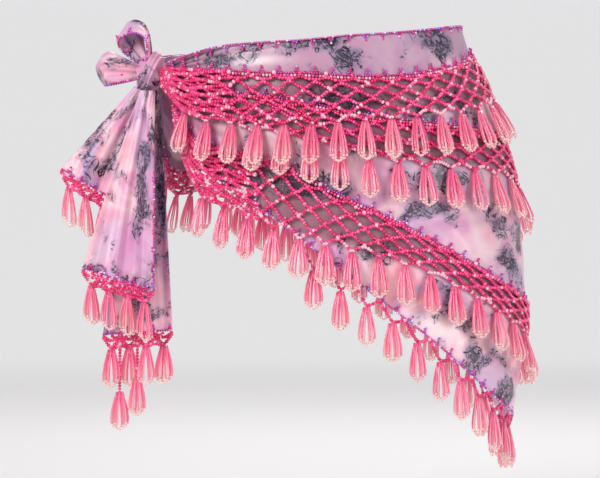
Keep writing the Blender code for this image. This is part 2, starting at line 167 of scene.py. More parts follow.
print("middle grey in linear light:", round(rgb(128, 128, 128)[0], 3))

# %% [markdown]
# The stage is a plain pale sweep: a floor that turns up into a wall, so there is no edge behind
# the scarf. It is large, so that a camera can go all round inside it, and its far paper glows a
# little where the lamps don't reach. Three soft boxes light the scarf, because beads need broad
# highlights.

# %% Stage and lights
FLOOR_Z = -0.47
SWEEP_HALF_WIDTH = 9.0
SWEEP_FRONT, SWEEP_BACK = -9.0, 6.5
SWEEP_RADIUS = 2.5
WALL_TOP = 6.0
GLOW_DEPTHS, GLOW = (0.6, 4.6), (0.86, 0.86, 0.86)
BEND_STEPS = 24
ROOM_COLOUR, ROOM_LIGHT = (0.95, 0.95, 1.0, 1.0), 0.38

turn = np.linspace(0.0, math.pi / 2, BEND_STEPS)
bend_y = SWEEP_BACK - SWEEP_RADIUS + SWEEP_RADIUS * np.sin(turn)
bend_z = FLOOR_Z + SWEEP_RADIUS - SWEEP_RADIUS * np.cos(turn)
profile_y = np.concatenate([[SWEEP_FRONT], bend_y, [SWEEP_BACK]])
profile_z = np.concatenate([[FLOOR_Z], bend_z, [WALL_TOP]])
sweep_mesh = bpy.data.meshes.new("backdrop")
left = np.stack([np.full_like(profile_y, -SWEEP_HALF_WIDTH), profile_y, profile_z], axis=1)
right = left * np.array([-1.0, 1.0, 1.0])
count = len(profile_y)
sweep_mesh.from_pydata(
    np.concatenate([left, right]).tolist(),
    [],
    [(i, i + count, i + count + 1, i + 1) for i in range(count - 1)],
)
sweep_mesh.shade_smooth()
sweep = bpy.data.objects.new("backdrop", sweep_mesh)
scene.collection.objects.link(sweep)
paper, paper_tools = new_material("backdrop_paper", Roughness=0.9, Emission_Strength=0.42)
grain = paper_tools.node("ShaderNodeTexNoise", {"Scale": 3.0, "Detail": 2.0})
grain.mix(rgb(226, 224, 224), rgb(236, 234, 233)).feeds("Base Color")
paper_place = paper_tools.node("ShaderNodeTexCoord", output=3)
depth = paper_tools.node("ShaderNodeSeparateXYZ", {"Vector": paper_place}, output=1)
depth.ramp(*GLOW_DEPTHS).mix((0.0, 0.0, 0.0), GLOW).feeds("Emission Color")
sweep_mesh.materials.append(paper)


def soft_box(name, place, aim, size, watts):
    """A square area light at a place, turned towards a point."""
    light = bpy.data.lights.new(name, "AREA")
    light.size = size
    light.energy = watts
    lamp = bpy.data.objects.new(name, light)
    lamp.location = place
    direction = np.array(aim) - np.array(place)
    yaw = math.atan2(direction[1], direction[0]) - math.pi / 2
    pitch = math.atan2(direction[2], math.hypot(direction[0], direction[1])) + math.pi / 2
    lamp.rotation_euler = (pitch, 0.0, yaw)
    scene.collection.objects.link(lamp)


MIDDLE = (0.0, 0.0, -0.18)
soft_box("key_light", (-1.3, -1.9, 1.0), MIDDLE, 0.9, 37.0)
soft_box("fill_light", (1.9, -1.6, 0.3), MIDDLE, 1.2, 24.0)
soft_box("back_light", (0.3, 1.5, 1.5), MIDDLE, 1.2, 28.0)
world = bpy.data.worlds.new("room")
world.use_nodes = True
sky = world.node_tree.nodes["Background"]
sky.inputs["Color"].default_value = ROOM_COLOUR
sky.inputs["Strength"].default_value = ROOM_LIGHT
scene.world = world
scene.view_settings.view_transform = "Standard"
print("stage floor at", FLOOR_Z)

# %% [markdown]
# Everything on the scarf lies on one form: the hips of a general figure. The first table gives
# level rings of that form from the waist down, and the second gives the height of each sewn line
# at stations round the hips. A "share" is 0 at the knot, 0.5 halfway round and 1 at the knot
# again. These are the driving sizes of the packed model, in millimetres.

# %% Tables of the form
def table(columns, *rows):
    """Rows of sizes, each with its columns' names."""
    row_kind = namedtuple("Row", columns)
    return [row_kind(*row) for row in rows]


HIP_RINGS = table(
    "height left right front back",
    (40, -140, 132, 90, 86),
    (16, -144, 137, 94, 90),
    (-16, -146, 147, 98, 98),
    (-51, -143, 161, 102, 108),
    (-98, -139, 178, 106, 120),
    (-144, -136, 189, 108, 126),
    (-191, -134, 194, 108, 126),
    (-237, -133, 196, 107, 120),
    (-284, -131, 194, 105, 112),
    (-330, -127, 187, 102, 106),
    (-380, -115, 174, 98, 100),
)
STATIONS = table(
    "share waist seam_1 foot_1 seam_2 foot_2 seam_3 foot_3 hem",
    (0.020, -20, -23, -42, -30, -50, -40, -62, -48),
    (0.050, -15, -25, -66, -40, -71, -84, -130, -102),
    (0.100, -7, -28, -76, -47, -81, -100, -157, -137),
    (0.150, -4, -31, -78, -52, -86, -112, -176, -169),
    (0.200, -2, -32, -77, -60, -98, -137, -188, -206),
    (0.250, 2, -34, -74, -69, -109, -158, -199, -240),
    (0.300, 5, -33, -71, -74, -115, -182, -214, -274),
    (0.350, 9, -27, -67, -77, -118, -205, -236, -307),
    (0.400, 14, -18, -60, -81, -123, -226, -258, -332),
    (0.454, 17, -9, -50, -90, -134, -240, -276, -345),
    (0.500, 17, -8, -52, -104, -150, -236, -282, -345),
    (0.560, 15, -12, -60, -102, -148, -200, -248, -298),
    (0.650, 10, -20, -70, -83, -125, -150, -198, -224),
    (0.750, 3, -27, -74, -60, -96, -119, -160, -164),
    (0.850, -4, -28, -70, -45, -75, -97, -136, -114),
    (0.950, -13, -25, -62, -39, -66, -84, -114, -94),
    (0.980, -20, -23, -42, -30, -50, -40, -62, -48),
)
MEASURING_HEIGHT = -120.0
KNOT_TURN = math.radians(165.0)
TURN_STEPS = 720
RIGHT, BACK, UP = np.eye(3)
print("rings:", len(HIP_RINGS), "stations:", len(STATIONS))

# %% The form of the hips
def smooth(xs, ys, x):
    """A curve through points: a cubic between each two, sloped like the chord of its neighbours."""
    xs, ys, x = (np.asarray(values, float) for values in (xs, ys, x))
    slope = np.gradient(ys, xs)
    i = np.clip(np.searchsorted(xs, x) - 1, 0, len(xs) - 2)
    width = xs[i + 1] - xs[i]
    t = np.clip((x - xs[i]) / width, 0.0, 1.0)
    along = t * (1 - t) * ((1 - t) * slope[i] - t * slope[i + 1])
    return ys[i] + (ys[i + 1] - ys[i]) * t * t * (3 - 2 * t) + width * along


def ring_size(name, height):
    """One column of the ring table at any height."""
    rings = HIP_RINGS[::-1]
    return smooth([r.height for r in rings], [getattr(r, name) for r in rings], height)


def line_height(name, share):
    """The height of a sewn line at any share of the way round."""
    return smooth([s.share for s in STATIONS], [getattr(s, name) for s in STATIONS], share)


def ring_point(turn, height, lift):
    """An ellipse with one depth for the front and one for the back, moved out along its normal."""
    left, right = ring_size("left", height), ring_size("right", height)
    half_width = (right - left) / 2
    depth = np.where(np.sin(turn) > 0, ring_size("front", height), ring_size("back", height))
    normal = np.stack([np.cos(turn) / half_width, -np.sin(turn) / depth])
    normal = normal / np.linalg.norm(normal, axis=0)
    x = (left + right) / 2 + half_width * np.cos(turn) + lift * normal[0]
    y = -depth * np.sin(turn) + lift * normal[1]
    return np.stack([x, y, height + 0 * x], axis=-1)


def run_along(curves):
    """The length of a curve up to each of its points, and so for each of several curves."""
    steps = np.linalg.norm(np.diff(curves, axis=-2), axis=-1)
    return np.concatenate([0 * steps[..., :1], np.cumsum(steps, axis=-1)], axis=-1)


TURNS = np.linspace(KNOT_TURN, KNOT_TURN - 2 * math.pi, TURN_STEPS + 1)
girth_run = run_along(ring_point(TURNS, np.full(len(TURNS), MEASURING_HEIGHT), 0.0))
HIP_GIRTH = girth_run[-1]
SHARES = girth_run / HIP_GIRTH


def hips(share, height, lift):
    """A point at a share of the way round, at a height, lifted off the inside of the cloth."""
    share, height, lift = np.broadcast_arrays(*(np.asarray(v, float) for v in (share, height, lift)))
    return ring_point(np.interp(share, SHARES, TURNS), height, lift)


def unit(vectors):
    """Vectors of length 1 in the same directions."""
    return vectors / np.maximum(np.linalg.norm(vectors, axis=-1, keepdims=True), 1e-9)


def hip_directions(share, height, lift=0.0):
    """Two level directions of length 1: along the cloth, and straight out of it."""
    step = 0.001
    along = hips(share + step, height, lift) - hips(share - step, height, lift)
    return unit(along), unit(hips(share, height, 1.0) - hips(share, height, 0.0))


def ease(t):
    """A soft step: 0 up to 0, 1 from 1 on."""
    t = np.clip(t, 0.0, 1.0)
    return t * t * (3 - 2 * t)


print("hips round:", round(HIP_GIRTH), "mm")

# %% [markdown]
# Two helpers make every piece. The first turns points and faces into a mesh that rides on the
# scarf's body, with number fields that a material can read. The second makes a cloth: a grid of
# points with a UV map in real metres, so that the print keeps its size on every piece, and a
# Solidify modifier for the thin wall.

# %% Making a piece and a cloth
CLOTH_THICKNESS = 0.6


def make_piece(name, points, faces, material, slot, uv=None, **fields):
    """A smooth mesh from points in millimetres and face arrays. A field may be one number."""
    mesh = bpy.data.meshes.new(name)
    rows = [row for block in faces for row in block.tolist()]
    mesh.from_pydata((points * MM).tolist(), [], rows)
    corners = np.concatenate([block.ravel() for block in faces])
    if uv is not None:
        layer = mesh.uv_layers.new(name="UVMap")
        layer.data.foreach_set("uv", uv[corners].astype(np.float32).ravel())
    for field_name, values in fields.items():
        field = mesh.attributes.new(field_name, "FLOAT", "POINT")
        spread = np.broadcast_to(np.ravel(values), len(points))
        field.data.foreach_set("value", spread.astype(np.float32))
    mesh.shade_smooth()
    mesh.materials.append(material)
    piece = bpy.data.objects.new(name, mesh)
    scene.collection.objects.link(piece)
    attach(piece, "root")
    print(name, "faces:", len(rows))
    return piece


def grid_faces(rows, columns):
    """Quads of a grid stored row by row, facing out when rows run down and columns right."""
    corner = np.arange(rows * columns).reshape(rows, columns)
    quads = [corner[:-1, :-1], corner[1:, :-1], corner[1:, 1:], corner[:-1, 1:]]
    return np.stack(quads, axis=-1).reshape(-1, 4)


def grid_area(grid):
    """The area of a grid in square metres: half the cross product of each quad's diagonals."""
    first = grid[1:, 1:] - grid[:-1, :-1]
    second = grid[1:, :-1] - grid[:-1, 1:]
    return float(np.linalg.norm(np.cross(first, second), axis=-1).sum() / 2) * MM * MM


def make_cloth(name, grid, uv, material, **fields):
    """A thin shell about a grid of points, with its UV map turned into metres."""
    faces = [grid_faces(*grid.shape[:2])]
    flat_uv = uv.reshape(-1, 2) * MM
    piece = make_piece(name, grid.reshape(-1, 3), faces, material, "printed_cloth", flat_uv, **fields)
    wall = piece.modifiers.new("cloth_wall", "SOLIDIFY")
    wall.thickness = CLOTH_THICKNESS * MM
    wall.offset = 0.0
    return piece


# %% [markdown]
# The cloth is a light satin with a cloudy print: washes of pink, lilac, cream and magenta, and on
# them dark sprays like ink drawn with a fine brush. The washes are broad noise through a colour
# ramp. The ink is fine blots, hatching and thin curled lines, which run where a noise crosses its
# middle value, and it lies only in smoky drifts. Number fields of the meshes say where the ground
# is dusky or rosy, where it is pale (partly pale print, partly a painted highlight on folds), where
# drifts gather, and where shade is painted behind a net and in creases. Nothing is traced: the
# print is a generic one.

# %% Printed satin
CREAM = rgb(248, 214, 220)
PEACH = rgb(246, 172, 186)
SHELL_PINK = rgb(234, 154, 190)
LILAC = rgb(188, 166, 206)
MAGENTA = rgb(216, 96, 166)
SMOKE = rgb(128, 114, 146)
DUSK = rgb(164, 124, 154)
MILK_AND_HIGHLIGHT = rgb(250, 228, 226)
# SHADE is the colour of the painted shade behind the nets and in deep creases.
SHADE = rgb(108, 46, 72)
INK = rgb(24, 22, 34)

printed, cloth_tools = new_material("printed_satin", Sheen_Weight=0.12, Sheen_Roughness=0.4)
flat_place = cloth_tools.node("ShaderNodeUVMap", uv_map="UVMap")


def cloth_noise(scale, detail, distortion=0.0, shift=0.0):
    """Noise on the flat cloth, at a number of cells to the metre."""
    moved = cloth_tools.node(
        "ShaderNodeMapping", {"Vector": flat_place, "Location": (shift, shift * 0.7, shift)}
    )
    values = {"Vector": moved, "Scale": scale, "Detail": detail, "Distortion": distortion}
    return cloth_tools.node("ShaderNodeTexNoise", values)


def squiggles(scale, shift, thickness):
    """Thin lines where a noise crosses its middle value: 1 on a line, 0 beside it."""
    off_line = cloth_noise(scale, 3.0, 1.2, shift) - 0.5
    return 1.0 - off_line.maths("ABSOLUTE", off_line).ramp(thickness * 0.3, thickness)


fields = {name: cloth_tools.field(name) for name in ("cloud", "pale", "rosy", "dusk", "under_beads")}
washes = cloth_noise(17.0, 3.0, 0.8).colours(
    (0.30, LILAC), (0.42, SHELL_PINK), (0.54, CREAM), (0.65, PEACH), (0.75, LILAC)
)
magenta_wash = cloth_noise(13.0, 2.5, 0.6, shift=3.1).ramp(0.56, 0.70) * 0.4
lilac_wash = cloth_noise(15.0, 2.0, 0.4, shift=7.7).ramp(0.50, 0.64) * 0.6
ground = magenta_wash.mix(lilac_wash.mix(washes, LILAC), MAGENTA)
ground = (fields["dusk"] * 0.8).mix(ground, DUSK)
ground = (fields["rosy"] * 0.6).mix(ground, SHELL_PINK)
# Pale patches, partly pale print and partly a painted highlight on folds, mixed towards milk.
ground = (fields["pale"] * 0.9).mix(ground, MILK_AND_HIGHLIGHT)
drift = cloth_noise(30.0, 3.0, 0.6, shift=5.3) * 0.8 + fields["cloud"] * 0.26
smoky = drift.ramp(0.43, 0.60) * 0.75
near_drift, in_drift = drift.ramp(0.46, 0.52), drift.ramp(0.52, 0.60)
blot = cloth_noise(120.0, 4.0, 1.2, shift=1.9).ramp(0.56, 0.64) * in_drift
sprays = squiggles(74.0, 9.4, 0.036) * near_drift
hatching = squiggles(140.0, 2.2, 0.095) * in_drift
strokes = sprays.maths("MAXIMUM", sprays, hatching * 0.8)
ink = strokes.maths("MAXIMUM", strokes, blot * 0.85)
# Painted shade: the cloth is mixed darker behind the nets and in deep creases.
shaded = (fields["under_beads"] * 0.7).mix(smoky.mix(ground, SMOKE), SHADE)
ink.mix(shaded, INK).feeds("Base Color")
(0.30 + cloth_noise(60.0, 3.0) * 0.16).feeds("Roughness")
weave = cloth_tools.node(
    "ShaderNodeTexWave",
    {"Vector": flat_place, "Scale": 420.0, "Distortion": 1.0},
    bands_direction="DIAGONAL",
)
bump = {"Height": weave, "Strength": 0.12, "Distance": 0.0002}
cloth_tools.node("ShaderNodeBump", bump).feeds("Normal")
print("printed satin has", len(printed.node_tree.nodes), "nodes")

# %% [markdown]
# Beads are small and there are thousands, so each takes a "tone" from its mesh: a number that the
# material turns into a colour. The nets are hot pink glass with a few pearly ones, the edgings
# shift from magenta to violet and blue, and the pendants are clear pink bugles with a painted glow:
# they emit a little light in their own colour, in place of light that enters such glass and comes
# out again at its sides.

# %% Bead and pendant glass
def bead_glass(name, *stops, **shader_values):
    """Glass whose colour follows the tone of each bead. A stop is its tone and a screen colour."""
    material, tools = new_material(name, **shader_values)
    colour = tools.field("tone").colours(*((place, rgb(*screen)) for place, *screen in stops))
    colour.feeds("Base Color")
    return material, colour


net_glass, _ = bead_glass(
    "net_bead_glass",
    (0.00, 206, 16, 84), (0.40, 238, 38, 120), (0.72, 252, 92, 160), (0.86, 255, 188, 206),
    Roughness=0.22, Coat_Weight=0.7, Coat_Roughness=0.06,
)
edge_glass, _ = bead_glass(
    "edge_bead_glass",
    (0.00, 206, 30, 120), (0.35, 222, 70, 164), (0.62, 186, 84, 206), (0.82, 164, 156, 232),
    (0.95, 240, 206, 236),
    Roughness=0.16, Metallic=0.1, Coat_Weight=0.6, Coat_Roughness=0.06,
)
pendant_glass, pendant_colour = bead_glass(
    "pendant_glass",
    (0.00, 230, 52, 120), (0.25, 247, 106, 154), (0.60, 253, 154, 176), (0.95, 255, 212, 208),
    Roughness=0.12, Transmission_Weight=0.3, IOR=1.4, Coat_Weight=0.8, Emission_Strength=0.10,
)
# Painted glow: the pendants emit a little light in their own colour, though they are no lamp.
pendant_colour.feeds("Emission Color")
print("bead materials ready")

# %% [markdown]
# The knot is where all of the cloth comes together. Its form is an ellipsoid, as in the packed
# model, and the wrap's two ends fan out from its sides. A straight line from a point inside an
# ellipsoid leaves it where a quadratic is zero, so no search is needed.

# %% Where cloth leaves the knot
KNOT_CENTRE = np.array([-150.0, -30.0, -28.0])
KNOT_RADII = np.array([14.5, 14.5, 18.5])
KNOT_HEART_DEPTH = 6.0
FAN_TOP, FAN_FOOT = math.radians(38.0), math.radians(-52.0)
WRAP_START, WRAP_END = 0.016, 0.984
GATHER_SHARE = 0.016


def out_of_knot(start, aims):
    """Where lines from a start in the knot leave it: the positive root of a quadratic."""
    place, aim = (start - KNOT_CENTRE) / KNOT_RADII, aims / KNOT_RADII
    a = (aim * aim).sum(axis=-1)
    b = (aim * place).sum(axis=-1)
    c = (place * place).sum(axis=-1) - 1.0
    reach = (-b + np.sqrt(b * b - a * c)) / a
    return start + aims * reach[..., None]


def gathered_end(side, down):
    """One end of the wrap drawn up to the side of the knot, fanned from its top to its foot."""
    along, out = hip_directions(WRAP_START if side > 0 else WRAP_END, KNOT_CENTRE[2])
    angle = FAN_TOP + (FAN_FOOT - FAN_TOP) * down
    aims = along * side * np.cos(angle)[..., None] + UP * np.sin(angle)[..., None]
    return out_of_knot(KNOT_CENTRE - out * KNOT_HEART_DEPTH, aims)


end_points = gathered_end(1, np.array([0.0, 1.0]))
print("height of the wrap's end at the knot:", round(end_points[0, 2] - end_points[1, 2]), "mm")

# %% [markdown]
# The wrapped cloth pulls in towards the knot, so its creases run out from there like the ribs of a
# fan, some long, some short. Along each line of beads the thread puckers it a little. Creases
# press inwards, because the beads lie close on the outside.

# %% Creases of the wrapped cloth
CREASES = table(
    "angle width reach depth",
    (13.0, 1.6, 190, -5.0),
    (9.0, 1.3, 150, -4.2),
    (4.5, 1.6, 120, -3.6),
    (0.0, 1.6, 95, -2.4),
    (-4.0, 2.4, 130, -2.2),
    (-13.0, 3.5, 90, -2.4),
    (-22.0, 3.0, 150, -2.8),
    (-31.0, 4.0, 110, -2.2),
    (-38.0, 3.0, 210, -3.0),
    (-45.0, 3.5, 160, -2.4),
    (-54.0, 4.0, 100, -2.6),
)
DRAPES = table(
    "share height slant width length depth",
    (0.31, -150, 0.30, 6.0, 60, -1.8),
    (0.37, -162, 0.22, 7.5, 52, -2.2),
    (0.42, -188, 0.34, 6.5, 58, -2.0),
    (0.34, -262, -0.75, 9.0, 46, -2.2),
    (0.41, -300, -0.55, 8.0, 50, -2.4),
    (0.53, -210, 0.10, 9.0, 60, -2.6),
    (0.60, -170, -0.18, 7.0, 55, -2.2),
    (0.68, -140, -0.30, 8.0, 60, -2.0),
    (0.61, -235, 0.60, 9.0, 48, -2.4),
    (0.72, -165, 0.55, 8.0, 50, -2.0),
)
PUCKER_DEPTH, PUCKER_REACH, PUCKER_SPACING = 0.7, 8.0, 15.0
PUCKER_DRIFT, PUCKER_DRIFT_RATE = 5, 31
BACK_RIB_TURN = 3.0
RIB_START = 25.0


def creases(share, height):
    """Ribs from the knot, soft drapes further off and puckers at the seams, all in millimetres."""
    near = np.minimum(share, 1 - share)
    across, up = near * HIP_GIRTH, height - KNOT_CENTRE[2]
    far = np.hypot(across, up)
    angle = np.degrees(np.arctan2(up, across))
    relief = np.zeros_like(far)
    for c in CREASES:
        angle_at = c.angle + BACK_RIB_TURN * (share > 0.5)
        rib = np.exp(-(((angle - angle_at) / c.width) ** 2))
        relief += c.depth * rib * np.exp(-((far / c.reach) ** 2)) * ease(far / RIB_START)
    for d in DRAPES:
        along, drop = (share - d.share) * HIP_GIRTH, height - d.height
        beside = drop - d.slant * along
        relief += d.depth * np.exp(-((beside / d.width) ** 2) - (along / d.length) ** 2)
    for index, name in enumerate(("waist", "seam_1", "seam_2", "seam_3", "hem")):
        off = height - line_height(name, share)
        drift = PUCKER_DRIFT * np.sin(share * PUCKER_DRIFT_RATE + index)
        wave = np.sin(2 * math.pi * share * HIP_GIRTH / PUCKER_SPACING + drift)
        relief += PUCKER_DEPTH * (wave - 1) / 2 * np.exp(-((off / PUCKER_REACH) ** 2))
    return relief


print("creases:", len(CREASES), "ribs from the knot and", len(DRAPES), "soft drapes")

# %% [markdown]
# A print looks even when it is only noise, but a real one gathers in some places. So a short table
# says where the smoky drifts gather, and another where the ground stays pale: partly pale print,
# partly a painted highlight where folds catch the light. Two more fields make the waist band
# duskier, and paint shade on the cloth behind the nets and in its creases, where less light
# comes in.

# %% Where the print is cloudy, and where shade is painted behind the nets and in creases
CLOUD_COLUMNS = "share height wide tall strength"
CLOUDS = table(
    CLOUD_COLUMNS,
    (0.100, -16, 30, 8, 0.8),
    (0.195, -6, 38, 10, 1.0),
    (0.245, -20, 18, 14, 0.9),
    (0.365, 0, 24, 20, 1.0),
    (0.230, -60, 30, 12, 0.9),
    (0.275, -92, 26, 11, 0.9),
    (0.360, -60, 26, 14, 0.7),
    (0.175, -132, 36, 10, 1.0),
    (0.110, -126, 20, 14, 0.7),
    (0.225, -192, 26, 12, 0.9),
    (0.285, -154, 34, 11, 0.9),
    (0.325, -128, 30, 16, 0.9),
    (0.378, -162, 16, 15, 1.0),
    (0.425, -175, 12, 22, 1.0),
    (0.400, -202, 18, 12, 0.9),
    (0.345, -242, 14, 12, 0.8),
    (0.300, -252, 14, 9, 0.8),
    (0.350, -290, 22, 14, 1.0),
    (0.390, -322, 12, 14, 0.8),
    (0.560, -150, 34, 22, 0.8),
    (0.620, -6, 90, 20, 0.7),
    (0.700, -132, 32, 16, 0.8),
    (0.800, -50, 30, 16, 0.9),
    (0.620, -200, 26, 16, 0.9),
)
# Where the ground stays pale: partly pale print, partly a painted highlight where folds catch light.
PALE_AND_HIGHLIGHT_PATCHES = table(
    CLOUD_COLUMNS,
    (0.300, -258, 44, 15, 0.9),
    (0.125, -19, 40, 7, 0.8),
    (0.375, -22, 16, 8, 0.7),
    (0.335, -196, 30, 12, 0.5),
)
SHADE_TOP, SHADE_FOOT = 5.0, 8.0
SHADING_CREASE, SHALLOW_CREASE, DEEPEST_SHADE = 4.0, 0.25, 0.9
BAND_BLEND, SKIRT_BLEND = 6.0, 30.0
SKIRT_DUSK, BAND_DUSK = 0.4, 0.6


def clouds(share, height, patches):
    """A bell for each patch, its strength at the middle. The highest one counts."""
    inside = np.zeros_like(share)
    for c in patches:
        along, rise = (share - c.share) * HIP_GIRTH / c.wide, (height - c.height) / c.tall
        inside = np.maximum(inside, c.strength * np.exp(-(along ** 2) - rise ** 2))
    return inside


def shade(share, height):
    """Painted shade: 1 behind a net, less in a deep crease and 0 elsewhere, softly at the edges."""
    behind = np.zeros_like(share)
    for tier in "123":
        seam, foot = line_height("seam_" + tier, share), line_height("foot_" + tier, share)
        covered = ease((seam - height) / SHADE_TOP) * ease((height - foot) / SHADE_FOOT)
        behind = np.maximum(behind, covered)
    sunk = -creases(share, height) / SHADING_CREASE - SHALLOW_CREASE
    return np.maximum(behind, np.clip(sunk, 0.0, DEEPEST_SHADE))


def dusky(share, height):
    """The share of grey mauve in the ground: most on the waist band and none below the last net."""
    band = ease((height - line_height("seam_1", share)) / BAND_BLEND + 0.5)
    skirt = ease((height - line_height("foot_3", share)) / SKIRT_BLEND)
    return SKIRT_DUSK * skirt + BAND_DUSK * band


print("drifts in the print:", len(CLOUDS), "and pale patches:", len(PALE_AND_HIGHLIGHT_PATCHES))

# %% [markdown]
# The wrap is one grid of points: its rows run from waist to hem and its columns round the hips. It
# could be draped by a simulation, but this cloth is drawn tight and hardly falls, so each point is
# placed by the hips' form and the creases. Near the knot the columns blend into the two fans.

# %% The wrapped cloth
WRAP_ROWS, WRAP_COLUMNS = 96, 300
CLOTH_LIFT = 0.75

down, share = np.meshgrid(
    np.linspace(0, 1, WRAP_ROWS), np.linspace(WRAP_START, WRAP_END, WRAP_COLUMNS), indexing="ij"
)
waist_line, hem_line = line_height("waist", share), line_height("hem", share)
height = waist_line + (hem_line - waist_line) * down
lying = hips(share, height, CLOTH_LIFT + creases(share, height))
ends = np.where(share[..., None] < 0.5, gathered_end(1, down), gathered_end(-1, down))
to_knot = np.minimum(share - WRAP_START, WRAP_END - share)
pull = ease(1 - to_knot / GATHER_SHARE)[..., None]
wrap_grid = lying * (1 - pull) + ends * pull
wrap_uv = np.stack([share * HIP_GIRTH, height], axis=-1)
wrap_cloth = make_cloth(
    "wrap_cloth",
    wrap_grid,
    wrap_uv,
    printed,
    cloud=clouds(share, height, CLOUDS),
    pale=clouds(share, height, PALE_AND_HIGHLIGHT_PATCHES),
    under_beads=shade(share, height),
    dusk=dusky(share, height),
)
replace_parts(wrap_cloth, "scarf_cloth")
wrap_area = grid_area(wrap_grid)

# %% [markdown]
# A knot is cloth over cloth. Here it is one closed surface: an ellipsoid whose lumps are pressed
# into gathers, with a band that passes over them on the slant. The band is where the distance
# from a tilted plane is small, and it stands out from the rest by a soft step.

# %% Knot
KNOT_ROWS, KNOT_COLUMNS = 72, 108
BAND_NORMAL = unit(np.array([0.80, -0.12, -0.52]))
BAND_HALF_WIDTH = 0.46
BAND_RISE = 0.17
BAND_EDGE = 0.16
BAND_FOLD_DEPTH, BAND_FOLD_RATE = 0.085, 26
GATHERS, GATHER_DEPTH = 9, 0.18
KNOT_FILL = 0.93
KNOT_PRINT_SCALE, KNOT_PRINT_PLACE = (16.0, 22.0), (880.0, 60.0)
KNOT_CLOUD, KNOT_ROSE = 0.18, 1.0

north = np.linspace(0.0, math.pi, KNOT_ROWS)[:, None]
round_about = np.linspace(0.0, 2 * math.pi, KNOT_COLUMNS)[None, :]
ball = np.stack(
    [
        np.sin(north) * np.cos(round_about),
        np.sin(north) * np.sin(round_about),
        np.cos(north) + 0 * round_about,
    ],
    axis=-1,
)
beside_band = ball @ BAND_NORMAL
first = unit(np.cross(BAND_NORMAL, BACK))
second = np.cross(BAND_NORMAL, first)
swirl = np.arctan2(ball @ second, ball @ first)
on_band = ease((BAND_HALF_WIDTH - np.abs(beside_band)) / BAND_EDGE)
band_wave = np.sin(beside_band * BAND_FOLD_RATE + 1.6 * np.sin(swirl * 2 + 0.5))
band_folds = BAND_FOLD_DEPTH * band_wave
gathers = -GATHER_DEPTH * (0.5 - 0.5 * np.cos(GATHERS * swirl + 1.5 * np.sin(2 * swirl)))
knot_size = KNOT_FILL + on_band * (BAND_RISE + band_folds) + (1 - on_band) * gathers
knot_grid = KNOT_CENTRE + ball * knot_size[..., None] * KNOT_RADII
knot_uv = np.stack([swirl, beside_band], axis=-1) * KNOT_PRINT_SCALE + KNOT_PRINT_PLACE
knot_cloth = make_piece(
    "knot_cloth",
    knot_grid.reshape(-1, 3),
    [grid_faces(KNOT_ROWS, KNOT_COLUMNS)],
    printed,
    "printed_cloth",
    uv=knot_uv.reshape(-1, 2) * MM,
    cloud=KNOT_CLOUD,
    rosy=KNOT_ROSE,
)
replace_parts(knot_cloth, "knot")

# %% [markdown]
# Each bow loop is a strip that leaves the knot, turns round and comes back. Its middle line is a
# teardrop: the distance out grows as 1 minus a cosine, and the opening as a sine times a squared
# half sine. The strip is narrow and pleated at the knot and spreads towards its far end. The
# upper loop closes towards its back edge like a pocket, so that nothing shows through it.

# %% Bow loops
LOOPS = table(
    "name node out across length opening root_band band shift pocket",
    ("bow_upper", "bow_loop_upper", (-0.30, -0.10, 0.95), (0.55, 0.8, 0), 51, 31, 7, 30, 905, 0.78),
    ("bow_left", "bow_loop_left", (-0.985, 0.05, 0.12), (0, 0, 1), 50, 22, 6, 32, 620, 0.0),
)
LOOP_ROUNDNESS = 1.54
LOOP_CURL = 0.2
LOOP_STEPS, LOOP_BAND_STEPS = 120, 40
LOOP_ROOT_TURN = 0.62
POCKET_EDGE = 0.7
PLEAT_DEPTH, PLEATS, PLEAT_FADE = 2.6, 2.5, 0.4
LOOP_CLOUD, LOOP_ROSE = 0.30, 0.2


def loop_point(loop, turn, across):
    """A point of a bow loop at a turn from 0 to 2 pi and a place from -1 to 1 across the strip."""
    out = unit(np.array(loop.out, float))
    band = np.array(loop.across, float)
    band = unit(band - out * np.dot(band, out))
    side = np.cross(out, band)
    far = (1 - np.cos(turn)) / 2
    width = loop.root_band + (loop.band - loop.root_band) * far
    bulge = loop.opening / 2 * np.sin(turn) * np.sin(turn / 2) ** 2 * LOOP_ROUNDNESS
    bulge = bulge * (1 - loop.pocket * ease((across + POCKET_EDGE) / (1 + POCKET_EDGE)))
    pleat = PLEAT_DEPTH * np.sin(across * math.pi * PLEATS + 2 * far)
    pleat = pleat * (1 - PLEAT_FADE * far) * far ** 0.3
    length = loop.length * far * (1 - LOOP_CURL * across ** 2)
    bulge = bulge + pleat * np.sign(math.pi - turn)
    return (
        KNOT_CENTRE
        + out * length[..., None]
        + side * bulge[..., None]
        + band * (across * width / 2)[..., None]
    )


loop_edges = []
for loop in LOOPS:
    across, turn = np.meshgrid(
        np.linspace(-1, 1, LOOP_BAND_STEPS),
        np.linspace(LOOP_ROOT_TURN, 2 * math.pi - LOOP_ROOT_TURN, LOOP_STEPS),
        indexing="ij",
    )
    loop_grid = loop_point(loop, turn, across)
    run = run_along(loop_grid[LOOP_BAND_STEPS // 2])
    loop_uv = np.stack([across * loop.band / 2 + loop.shift, 0 * across + run], axis=-1)
    loop_cloth = make_cloth(loop.name, loop_grid, loop_uv, printed, cloud=LOOP_CLOUD, rosy=LOOP_ROSE)
    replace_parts(loop_cloth, loop.node)
    loop_area = grid_area(loop_grid)
    loop.band * MM
    min(loop_area, loop.band * run[-1] * MM * MM)
    loop_edges.append(loop_grid[0])
    print(loop.name, "strip length", round(run[-1]), "mm, area", round(loop_area, 4))
